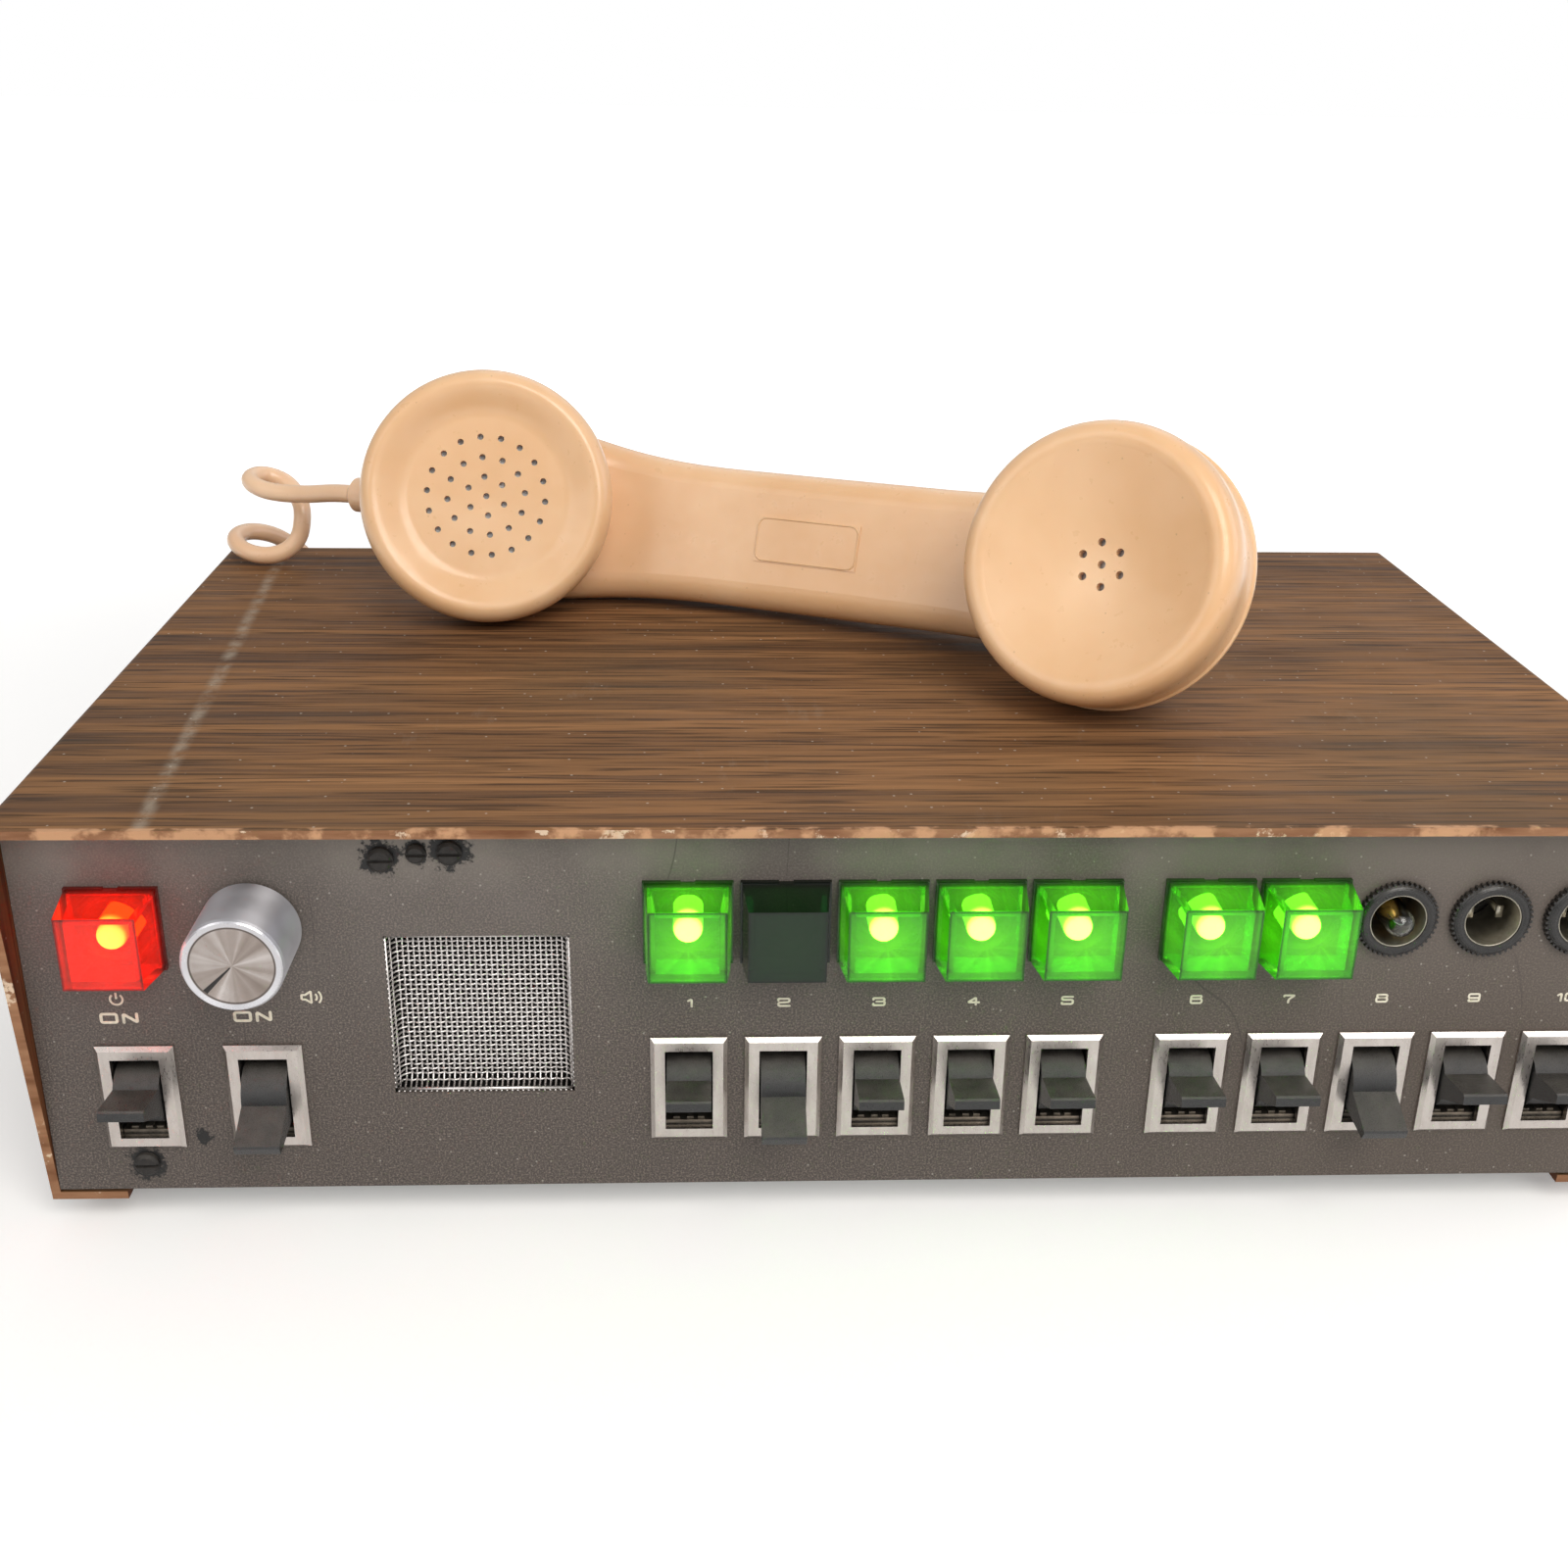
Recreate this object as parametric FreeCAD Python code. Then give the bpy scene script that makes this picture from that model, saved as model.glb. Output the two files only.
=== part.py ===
import FreeCAD, Part
import math
import os

from FreeCAD import Rotation, Vector

# Desk intercom: a woodgrain cabinet with a switch panel, and a handset lying on its top.
# Millimetres, +Z up, +X to the right of someone facing the panel, -Y towards that person.
# While building, Y = 0 is the face of the front panel and Z = 0 the desk. At the end every
# piece is shifted back by MIDDLE_Y, so that the origin is under the middle of the object.

# Cabinet sleeve
SLEEVE_W = 354.5
SLEEVE_H = 93.4
SLEEVE_WALL = 2.0
SLEEVE_CORNER = 3.0
SLEEVE_LIFT = 6.0
RETURN_W = 16.5
FRONT_OVERHANG = 8.7
FRONT_SETBACK = 0.5
SLEEVE_BACK_Y = 196.5

# Sheet metal inside the sleeve
SHEET_GAP = 0.2
TRAY_T = 1.2
TRAY_TOP_GAP = 8.0
TRAY_LIP = 13.5
SIDE_LIP = 9.0
PANEL_T = 2.0
PANEL_LIFT = 0.95
REAR_PANEL_T = 1.5
REAR_PANEL_Y = 190.0

# Feet and fasteners
FOOT_R = 8.0
FOOT_BASE_R = 7.0
FOOT_INSET_X = 29.0
FOOT_FRONT_Y = 25.0
FOOT_BACK_Y = 172.0
SCREW_R = 1.5
SCREW_HEAD_R = 2.7
SCREW_HEAD_T = 1.5
SCREW_SLOT = 0.7
SCREW_GAP = 0.1
NUT_R = 3.2
NUT_T = 2.4
SLEEVE_SCREW_INSET = 9.0

# Station columns
STATION_PITCH = 20.32
STATION_3_X = 3.56
STATION_BREAK = 27.98
POWER_X = -154.5
SPEAKER_X = -127.6
KNOB_X = -127.0

# Rows above the panel's lower edge
SWITCH_ROW = 25.05
LEFT_SWITCH_ROW = 23.95
LAMP_ROW = 65.6
POWER_LAMP_ROW = 64.7
KNOB_ROW = 64.8

# Lamp holders, bulbs and lens caps
HOLDER_FLANGE_R = 8.28
HOLDER_FLANGE_T = 2.0
HOLDER_BARREL_R = 7.1
HOLDER_BORE_R = 6.15
HOLDER_BORE_DEEP = 12.0
HOLDER_FLOOR = 4.0
BULB_R = 3.2
BULB_PROUD = 5.5
LENS_DEEP = 12.1
LENS_BASE = 18.9
LENS_SHOULDER = 18.3
LENS_FRONT = 16.1
LENS_LIP_T = 1.2
LENS_WALL = 1.6
LENS_GAP = 0.1
LENS_NOTCH_W = 3.0
CAPPED_STATIONS = (1, 2, 3, 4, 5, 6, 7)
LIT_STATIONS = (1, 2, 3, 4, 5, 6, 7, 8)
OPEN_STATIONS = (9, 10)

# Paddle switches
BEZEL_W = 16.6
BEZEL_H = 25.5
BEZEL_T = 1.6
BEZEL_BEVEL = 0.9
OPENING_W = 10.3
OPENING_H = 19.6
SWITCH_WALL = 1.1
SWITCH_DEEP = 22.0
SWITCH_CAVITY = 11.0
CUTOUT_GAP = 0.1
PADDLE_SIDE_GAP = 0.35
DRUM_R = 6.9
DRUM_BACK = 2.7
BLADE_REACH = 16.6
BLADE_TOP = 2.8
BLADE_TIP_T = 2.3
BLADE_ROOT_DROP = 3.2
PIVOT_R = 1.2
PIVOT_GAP = 0.05
PADDLE_UP_DEG = 7.0
PADDLE_DOWN_DEG = 25.0
DOWN_SWITCHES = ("speaker", "2", "8")
TERMINAL_W = 4.0
TERMINAL_T = 0.8
TERMINAL_L = 8.0
TERMINAL_STEP = 6.5

# Volume control
KNOB_R = 10.3
KNOB_RIM = 0.3
KNOB_LENGTH = 17.2
KNOB_GAP = 0.8
KNOB_BEVEL = 2.0
KNOB_FACE_SINK = 0.35
KNOB_UNDERCUT_R = 8.2
KNOB_BORE_END = 2.5
SHAFT_R = 3.0
SHAFT_GAP = 0.05
BUSH_R = 4.7
BUSH_PROUD = 3.0
POT_NUT_R = 6.6
POT_NUT_T = 2.4
POT_R = 12.0
POT_DEEP = 12.0
GRUB_R = 1.5
GRUB_FROM_FRONT = 5.5

# Speaker and its wire grille
GRILLE_X = -81.15
GRILLE_ROW = 43.2
GRILLE_W = 38.6
GRILLE_H = 38.2
GRILLE_DEEP = 4.0
GRILLE_SLOPE = 1.5
GRILLE_WIRE_T = 0.8
GRILLE_FLANGE = 4.0
GRILLE_HOLES = 15
GRILLE_BAR = 0.75
SPEAKER_FLANGE = 60.0
SPEAKER_FLANGE_T = 1.2
SPEAKER_R = 28.6
BASKET_WALL = 1.0
BASKET_STRAIGHT = 6.0
BASKET_DEEP = 18.0
BASKET_BACK_R = 15.0
CONE_T = 0.6
CONE_NECK_R = 8.0
MAGNET_R = 16.0
MAGNET_DEEP = 11.0

# Small slotted screws on the panel: place across, height above the panel's lower edge, head radius
PANEL_SCREWS = ((-99.6, 80.2, 2.7), (-92.3, 81.5, 2.1), (-85.6, 81.6, 2.6), (-155.3, 6.8, 2.7))
PANEL_SCREW_LENGTH = 7.0

# Rear panel fittings
REAR_BUSH_X = 95.0
REAR_BUSH_Z = 33.0
REAR_BUSH_R = 6.0
REAR_BUSH_LENGTH = 13.5
GROMMET_X = 146.0
GROMMET_Z = 32.0
GROMMET_R = 8.0
GROMMET_BORE_R = 3.75
GROMMET_LIP = 2.0
FUSE_X = 120.0
FUSE_Z = 60.0
FUSE_R = 6.3
FUSE_CAP_R = 8.0
FUSE_CAP_L = 11.0
FUSE_BODY_L = 28.0
STRIP_X = -45.0
STRIP_Z = 66.0
STRIP_W = 152.0
STRIP_H = 24.0
STRIP_T = 9.0
STRIP_PITCH = 12.0
STRIP_SCREW_R = 3.0
REAR_SCREW_INSET = 5.65
REAR_SCREW_Z = (20.0, 52.0, 84.0)
VENT_X = 0.0
VENT_Z = 30.0
VENT_COUNT = 12
VENT_W = 3.0
VENT_H = 22.0
VENT_PITCH = 8.0

# Electronics on the tray
BOARD_X = -20.0
BOARD_Y = 118.0
BOARD_W = 190.0
BOARD_D = 104.0
BOARD_T = 1.6
STANDOFF_H = 12.0
STANDOFF_R = 3.0
STANDOFF_INSET = 6.0
TRANSFORMER_FROM_SIDE = 52.25
TRANSFORMER_Y = 120.0
CORE_W = 57.0
CORE_D = 26.0
CORE_H = 48.0
COIL_D = 44.0
WINDOW_W = 9.5
CORE_LEG = 9.5
CAPACITOR_FROM_SIDE = 37.25
CAPACITOR_Y = 130.0
CAPACITOR_R = 13.0
CAPACITOR_H = 52.0

# Handset, in its own frame: X from transmitter to receiver, -Y the side of the ear, Z across
HANDSET_X = -17.3
HANDSET_Y = 92.0
HANDSET_YAW = -25.7
HANDSET_TILT = 21.0
HANDSET_ROLL = 1.0
HANDSET_SEAT_GAP = 0.2
CAP_SPACING = 162.0
TRANSMITTER_TURN = 27.0
RECEIVER_TURN = 7.0
CAP_R = 32.5
CAP_WALL = 2.6
CAP_CREST_IN = 3.2
TRANSMITTER_CAP_BACK = 9.0
TRANSMITTER_CAP_CREST = 5.5
RECEIVER_CAP_BACK = 12.5
RECEIVER_CAP_CREST = 5.0
CUP_GAP = 0.1
CUP_R = 31.3
CUP_NECK_UP = 7.0
CUP_DEEP = 19.0
CUP_BACK_R = 17.0
CAVITY_R = 27.0
CAVITY_DEEP = 14.5
DISH_OUTER_R = 26.9
DISH_INNER_R = 21.3
DISH_SINK = 2.8
DISH_HOLE_R = 0.8
DISH_RINGS = (5.0, 10.0, 15.2)
DISH_RING_HOLES = (6, 12, 18)
DISH_TURN = 10.0
BOWL_R = 26.1
BOWL_SINK = 6.5
BOWL_HOLE_R = 0.95
BOWL_RING_R = 5.1
BOWL_HOLES = 6
GRIP_HALF_W = 18.3
GRIP_INNER_Y = 34.0
GRIP_THICK = 21.0
GRIP_INNER_CORNER = 8.5
GRIP_OUTER_CORNER = 13.0
GRIP_STRAIGHT = 42.0
WIRE_CHANNEL_R = 3.0
WIRE_BEND_TRANSMITTER = (6.5, -1.0)
WIRE_BEND_RECEIVER = (11.0, 5.0)
WIRE_INWARDS = 14.0
PLATE_X = -4.0
PLATE_W = 29.0
PLATE_H = 12.0
PLATE_PROUD = 0.25
CAPSULE_R = 25.0
CAPSULE_T = 9.0
HANDSET_BUSH_Y = 12.0
HANDSET_BUSH_DROP = 2.2
HANDSET_BUSH_R = 4.7
HANDSET_BUSH_TIP_R = 2.8
HANDSET_BUSH_TAPER = 1.9
HANDSET_BUSH_REACH = 50.5
HANDSET_BUSH_L = 24.5
WIRE_HOLE_R = 1.6

# Curly cord. Two pulled-out curls follow OPEN_CURLS, from the handset to the cabinet's back edge.
# The rest wind round CURL_LINE, and CORD_TAIL leads back into the cabinet.
# A pitch is (distance along that line, advance per curl), straight between its rows.
CORD_R = 2.5
OPEN_CURLS = ((-146.1, 168, 122.8), (-155.9, 172.5, 122.2), (-162, 175.3, 123.2), (-165.3, 181, 124.4),
              (-162.3, 187.5, 124.3), (-155.6, 187.8, 121.8), (-151, 183, 117), (-150.5, 180, 112),
              (-151.8, 179.3, 106.9), (-155.9, 177.6, 103.2), (-162, 176.5, 102.3), (-168.8, 179.4, 103.4),
              (-172.7, 186, 105.3), (-170.6, 193.8, 105.4), (-164.6, 198.6, 103.4), (-159.2, 202, 98.8),
              (-156.4, 205.2, 94.5), (-155, 207.2, 89.4), (-155.4, 205.8, 84.2))
CURL_LINE = ((-163.6, 208, 81), (-163.5, 208.5, 66), (-162, 209, 48), (-158, 210, 28),
             (-140, 213, 10.6), (-100, 215, 10.4), (-50, 217, 10.4), (0, 215, 10.4), (47, 214, 10.4))
CURL_PITCH = ((0, 12), (18, 9.4), (52, 8.6), (67, 9.6), (117, 8.8), (400, 8.6))
CURL_R = 7.7
CURL_START = 315.0
CORD_TAIL = ((51, 227, 2.9), (65, 238, 3.3), (82, 242, 8), (93, 236, 20))
LINE_STEPS = 4000

# Values worked out from the ones above
TOP_Z = SLEEVE_LIFT + SLEEVE_H
TRAY_Z = SLEEVE_LIFT + SLEEVE_WALL
TRAY_HALF = SLEEVE_W / 2 - SLEEVE_WALL - SHEET_GAP
TRAY_TOP = TOP_Z - SLEEVE_WALL - TRAY_TOP_GAP
PANEL_Z = TRAY_Z + PANEL_LIFT
PANEL_TOP = TOP_Z - SLEEVE_WALL - SHEET_GAP
TRAY_FLOOR = TRAY_Z + TRAY_T
FOOT_X = SLEEVE_W / 2 - FOOT_INSET_X
REAR_SCREW_X = (REAR_SCREW_INSET - TRAY_HALF, TRAY_HALF - REAR_SCREW_INSET)
CAPACITOR_X = CAPACITOR_FROM_SIDE - SLEEVE_W / 2
TRANSFORMER_X = SLEEVE_W / 2 - TRANSFORMER_FROM_SIDE
REAR_FACE = REAR_PANEL_Y + REAR_PANEL_T
REAR_REACH = REAR_FACE + REAR_BUSH_LENGTH
MIDDLE_Y = (REAR_REACH - KNOB_LENGTH) / 2

X, Y, Z = Vector(1, 0, 0), Vector(0, 1, 0), Vector(0, 0, 1)


# Small helpers
def box(low, high):
    size = [b - a for a, b in zip(low, high)]
    return Part.makeBox(size[0], size[1], size[2], Vector(*low))


def rod(radius, start, end):
    start, end = Vector(*start), Vector(*end)
    return Part.makeCylinder(radius, (end - start).Length, start, end - start)


def turned(points, place=(0, 0, 0), axis=-Y, curved=()):
    """A solid of revolution. Points are (radius, height along the axis).

    A smooth curve runs through each stretch of points in curved, given by its first and last.
    """
    loop = [Vector(r, 0, h) for r, h in points + [points[0]]]
    ends = dict(curved)
    edges, i = [], 0
    while i < len(points):
        last = ends.get(i, i + 1)
        if i in ends:
            curve = Part.BSplineCurve()
            curve.interpolate(loop[i:last + 1])
        else:
            curve = Part.LineSegment(loop[i], loop[last])
        edges.append(curve.toShape())
        i = last
    solid = Part.Face(Part.Wire(edges)).revolve(Vector(0, 0, 0), Z, 360)
    solid.Placement = FreeCAD.Placement(Vector(*place), Rotation(Z, axis))
    return solid


def plate_ring(width, height, start_y, end_y, centre):
    """A block standing across Y, centred on (x, z)."""
    x, z = centre
    return box((x - width / 2, start_y, z - height / 2), (x + width / 2, end_y, z + height / 2))


def frustum(start_size, end_size, start_y, end_y, centre):
    """A square block that narrows along Y, centred on (x, z)."""
    x, z = centre
    rings = []
    for size, y in ((start_size, start_y), (end_size, end_y)):
        h = size / 2
        corners = [(x - h, z - h), (x + h, z - h), (x + h, z + h), (x - h, z + h), (x - h, z - h)]
        rings.append(Part.makePolygon([Vector(a, y, b) for a, b in corners]))
    return Part.makeLoft(rings, True, True)


def joined(shapes):
    result = shapes[0].fuse(shapes[1:]) if len(shapes) > 1 else shapes[0]
    return result.removeSplitter()


def group(shapes):
    return Part.makeCompound(shapes)


def station_x(number):
    """The middle of a station's column."""
    if number <= 5:
        return STATION_3_X + (number - 3) * STATION_PITCH
    return STATION_3_X + 2 * STATION_PITCH + STATION_BREAK + (number - 6) * STATION_PITCH


def lamp_places():
    places = {"power": (POWER_X, PANEL_Z + POWER_LAMP_ROW)}
    for number in range(1, 11):
        places[str(number)] = (station_x(number), PANEL_Z + LAMP_ROW)
    return places


def switch_places():
    left = PANEL_Z + LEFT_SWITCH_ROW
    places = {"power": (POWER_X, left), "speaker": (SPEAKER_X, left)}
    for number in range(1, 11):
        places[str(number)] = (station_x(number), PANEL_Z + SWITCH_ROW)
    return places


LAMPS = lamp_places()
SWITCHES = switch_places()
KNOB_PLACE = (KNOB_X, PANEL_Z + KNOB_ROW)
GRILLE_PLACE = (GRILLE_X, PANEL_Z + GRILLE_ROW)
SCREW_PLACES = [(x, PANEL_Z + row, head) for x, row, head in PANEL_SCREWS]


# Fasteners
def slotted_screw(place, direction, length, head_r=SCREW_HEAD_R):
    """A pan-head screw: place is under the head, direction points along the shank."""
    points = [(0, 0), (head_r, 0), (head_r, SCREW_HEAD_T * 0.6), (head_r * 0.75, SCREW_HEAD_T)]
    points += [(0, SCREW_HEAD_T)]
    head = turned(points, (0, 0, 0), Z)
    slot = box((-head_r, -SCREW_SLOT / 2, SCREW_HEAD_T * 0.55), (head_r, SCREW_SLOT / 2, SCREW_HEAD_T))
    screw = head.cut(slot).fuse(rod(SCREW_R, (0, 0, 0.01), (0, 0, -length))).removeSplitter()
    screw.Placement = FreeCAD.Placement(Vector(*place), Rotation(Z, -Vector(*direction)))
    return screw


def hex_nut(place, radius, thick, bore_r, direction):
    """A nut with one face at place, growing along direction."""
    corners = [Vector(radius * math.cos(a), radius * math.sin(a), 0)
               for a in (math.radians(60 * i) for i in range(7))]
    nut = Part.Face(Part.makePolygon(corners)).extrude(Z * thick)
    nut = nut.cut(Part.makeCylinder(bore_r, thick))
    nut.Placement = FreeCAD.Placement(Vector(*place), Rotation(Z, Vector(*direction)))
    return nut


# Cabinet
def cabinet_sleeve():
    half, low = SLEEVE_W / 2, SLEEVE_LIFT
    outer = box((-half, -FRONT_OVERHANG, low), (half, SLEEVE_BACK_Y, TOP_Z))
    top_edges = [e for e in outer.Edges if e.BoundBox.ZMin > TOP_Z - 0.1 and e.BoundBox.YLength > 1]
    outer = outer.makeFillet(SLEEVE_CORNER, top_edges)
    inner_half = half - SLEEVE_WALL
    inner = box((-inner_half, -FRONT_OVERHANG - 1, TRAY_Z),
                (inner_half, SLEEVE_BACK_Y + 1, TOP_Z - SLEEVE_WALL))
    top_edges = [e for e in inner.Edges
                 if e.BoundBox.ZMin > TOP_Z - SLEEVE_WALL - 0.1 and e.BoundBox.YLength > 1]
    inner = inner.makeFillet(SLEEVE_CORNER - SLEEVE_WALL, top_edges)
    gap_half = half - RETURN_W
    mouth = box((-gap_half, -FRONT_OVERHANG - 1, low - 1), (gap_half, SLEEVE_BACK_Y + 1, TRAY_Z + 1))
    side = [(FRONT_SETBACK, low), (-FRONT_OVERHANG, TOP_Z), (SLEEVE_BACK_Y, TOP_Z),
            (SLEEVE_BACK_Y, low), (FRONT_SETBACK, low)]
    wire = Part.makePolygon([Vector(-half, y, z) for y, z in side])
    raked = Part.Face(wire).extrude(X * SLEEVE_W)
    holes = [rod(SCREW_R + SCREW_GAP, (x, y, low - 1), (x, y, TRAY_Z + 1))
             for x, y in sleeve_screw_places()]
    return outer.cut(inner).cut(mouth).common(raked).cut(holes)


def sleeve_screw_places():
    x = SLEEVE_W / 2 - SLEEVE_SCREW_INSET
    return [(sx, y) for sx in (-x, x) for y in (FOOT_FRONT_Y, FOOT_BACK_Y)]


def foot_places():
    return [(sx, y) for sx in (-FOOT_X, FOOT_X) for y in (FOOT_FRONT_Y, FOOT_BACK_Y)]


def chassis_tray():
    front, back = PANEL_T, REAR_PANEL_Y
    outer = box((-TRAY_HALF, front, TRAY_Z), (TRAY_HALF, back, TRAY_TOP))
    inner = box((-TRAY_HALF + TRAY_T, front + TRAY_T, TRAY_FLOOR),
                (TRAY_HALF - TRAY_T, back - TRAY_T, TRAY_TOP + 1))
    window_half = TRAY_HALF - SIDE_LIP
    window = box((-window_half, front - 1, TRAY_Z + TRAY_LIP), (window_half, back + 1, TRAY_TOP + 1))
    cuts = [inner, window]
    for x, y in foot_places() + sleeve_screw_places():
        cuts.append(rod(SCREW_R, (x, y, TRAY_Z - 1), (x, y, TRAY_FLOOR + 1)))
    for x, z, head in SCREW_PLACES:
        cuts.append(rod(SCREW_R, (x, front - 1, z), (x, front + TRAY_T + 1, z)))
    for x in REAR_SCREW_X:
        for z in REAR_SCREW_Z:
            cuts.append(rod(SCREW_R, (x, back - TRAY_T - 1, z), (x, back + 1, z)))
    return outer.cut(cuts)


def front_panel():
    plate = box((-TRAY_HALF, 0, PANEL_Z), (TRAY_HALF, PANEL_T, PANEL_TOP))
    cuts = [plate_ring(GRILLE_W, GRILLE_H, -1, PANEL_T + 1, GRILLE_PLACE)]
    for x, z in LAMPS.values():
        cuts.append(rod(HOLDER_BARREL_R + CUTOUT_GAP, (x, -1, z), (x, PANEL_T + 1, z)))
    width = OPENING_W + 2 * (SWITCH_WALL + CUTOUT_GAP)
    height = OPENING_H + 2 * (SWITCH_WALL + CUTOUT_GAP)
    for place in SWITCHES.values():
        cuts.append(plate_ring(width, height, -1, PANEL_T + 1, place))
    x, z = KNOB_PLACE
    cuts.append(rod(BUSH_R + CUTOUT_GAP, (x, -1, z), (x, PANEL_T + 1, z)))
    for x, z, head in SCREW_PLACES:
        cuts.append(rod(SCREW_R + SCREW_GAP, (x, -1, z), (x, PANEL_T + 1, z)))
    return plate.cut(cuts)


def rear_panel():
    plate = box((-TRAY_HALF, REAR_PANEL_Y, TRAY_Z), (TRAY_HALF, REAR_FACE, TRAY_TOP))
    cuts = []
    for x, z, radius in ((REAR_BUSH_X, REAR_BUSH_Z, REAR_BUSH_R),
                         (GROMMET_X, GROMMET_Z, GROMMET_R - GROMMET_LIP),
                         (FUSE_X, FUSE_Z, FUSE_R)):
        cuts.append(rod(radius, (x, REAR_PANEL_Y - 1, z), (x, REAR_FACE + 1, z)))
    for i in range(VENT_COUNT):
        x = VENT_X + (i - (VENT_COUNT - 1) / 2) * VENT_PITCH
        cuts.append(plate_ring(VENT_W, VENT_H, REAR_PANEL_Y - 1, REAR_FACE + 1, (x, VENT_Z)))
    for x in REAR_SCREW_X:
        for z in REAR_SCREW_Z:
            cuts.append(rod(SCREW_R + SCREW_GAP, (x, REAR_PANEL_Y - 1, z), (x, REAR_FACE + 1, z)))
    return plate.cut(cuts)


def rubber_feet():
    feet = []
    for x, y in foot_places():
        points = [(SCREW_R + SCREW_GAP, TRAY_Z), (FOOT_R, TRAY_Z), (FOOT_R, TRAY_Z * 0.4), (FOOT_BASE_R, 0),
                  (SCREW_HEAD_R + 0.6, 0), (SCREW_HEAD_R + 0.6, TRAY_Z * 0.5),
                  (SCREW_R + SCREW_GAP, TRAY_Z * 0.5)]
        feet.append(turned(points, (x, y, 0), Z))
    return group(feet)


def bottom_screws():
    screws = [slotted_screw((x, y, TRAY_Z * 0.5), (0, 0, 1), TRAY_Z * 0.5 + TRAY_T + 2)
              for x, y in foot_places()]
    screws += [slotted_screw((x, y, SLEEVE_LIFT), (0, 0, 1), SLEEVE_WALL + TRAY_T + 2)
               for x, y in sleeve_screw_places()]
    return group(screws)


def panel_screws():
    pieces = []
    for x, z, head in SCREW_PLACES:
        pieces.append(slotted_screw((x, 0, z), (0, 1, 0), PANEL_SCREW_LENGTH, head))
        on_tray = z < TRAY_Z + TRAY_LIP
        seat = PANEL_T + (TRAY_T if on_tray else 0)
        pieces.append(hex_nut((x, seat, z), NUT_R, NUT_T, SCREW_R, (0, 1, 0)))
    return group(pieces)


def rear_panel_screws():
    return group([slotted_screw((x, REAR_FACE, z), (0, -1, 0), REAR_PANEL_T + TRAY_T + 2)
                  for x in REAR_SCREW_X for z in REAR_SCREW_Z])


# Lamps
def lamp_holder(place):
    x, z = place
    points = [(0, -HOLDER_BORE_DEEP - HOLDER_FLOOR), (HOLDER_BARREL_R, -HOLDER_BORE_DEEP - HOLDER_FLOOR),
              (HOLDER_BARREL_R, 0), (HOLDER_FLANGE_R, 0), (HOLDER_FLANGE_R, HOLDER_FLANGE_T * 0.7),
              (HOLDER_FLANGE_R - 0.6, HOLDER_FLANGE_T), (HOLDER_BORE_R, HOLDER_FLANGE_T),
              (HOLDER_BORE_R, -HOLDER_BORE_DEEP), (0, -HOLDER_BORE_DEEP)]
    return turned(points, (x, 0, z))


def lamp_bulb(place):
    x, z = place
    tube = rod(BULB_R, (x, HOLDER_BORE_DEEP, z), (x, BULB_R - BULB_PROUD, z))
    tip = Part.makeSphere(BULB_R, Vector(x, BULB_R - BULB_PROUD, z))
    return tube.fuse(tip).removeSplitter()


def lens_cap(place):
    x, z = place
    lip = plate_ring(LENS_BASE, LENS_BASE, -LENS_LIP_T, 0, place)
    body = frustum(LENS_SHOULDER, LENS_FRONT, -LENS_LIP_T, -LENS_DEEP, place)
    seat = 2 * (HOLDER_FLANGE_R + LENS_GAP)
    seat_hole = plate_ring(seat, seat, -HOLDER_FLANGE_T - LENS_GAP, 1, place)
    inner = frustum(seat - LENS_WALL, LENS_FRONT - 2 * LENS_WALL,
                    -HOLDER_FLANGE_T, LENS_WALL - LENS_DEEP, place)
    notch = box((x - LENS_NOTCH_W / 2, -LENS_LIP_T - 1, z + LENS_SHOULDER / 2),
                (x + LENS_NOTCH_W / 2, 1, z + LENS_BASE / 2 + 1))
    return lip.fuse(body).cut([seat_hole, inner, notch]).removeSplitter()


# Switches
def switch_bezel(place):
    x, z = place
    back = plate_ring(BEZEL_W, BEZEL_H, -(BEZEL_T - BEZEL_BEVEL), 0, place)
    rings = []
    for inset, y in ((0, -(BEZEL_T - BEZEL_BEVEL)), (BEZEL_BEVEL, -BEZEL_T)):
        w, h = BEZEL_W / 2 - inset, BEZEL_H / 2 - inset
        corners = [(x - w, z - h), (x + w, z - h), (x + w, z + h), (x - w, z + h), (x - w, z - h)]
        rings.append(Part.makePolygon([Vector(a, y, b) for a, b in corners]))
    front = Part.makeLoft(rings, True, True)
    opening = plate_ring(OPENING_W, OPENING_H, -BEZEL_T - 1, 1, place)
    return back.fuse(front).cut(opening).removeSplitter()


def switch_body(place):
    x, z = place
    outer = plate_ring(OPENING_W + 2 * SWITCH_WALL, OPENING_H + 2 * SWITCH_WALL, 0, SWITCH_DEEP, place)
    cavity = plate_ring(OPENING_W, OPENING_H, -1, SWITCH_CAVITY, place)
    half = OPENING_W / 2 + SWITCH_WALL
    pivot = rod(PIVOT_R + PIVOT_GAP, (x - half - 1, DRUM_BACK, z), (x + half + 1, DRUM_BACK, z))
    return outer.cut([cavity, pivot])


def switch_terminals(place):
    x, z = place
    return [box((x - TERMINAL_W / 2, SWITCH_DEEP, z + i * TERMINAL_STEP - TERMINAL_T / 2),
                (x + TERMINAL_W / 2, SWITCH_DEEP + TERMINAL_L, z + i * TERMINAL_STEP + TERMINAL_T / 2))
            for i in (-1, 0, 1)]


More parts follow.
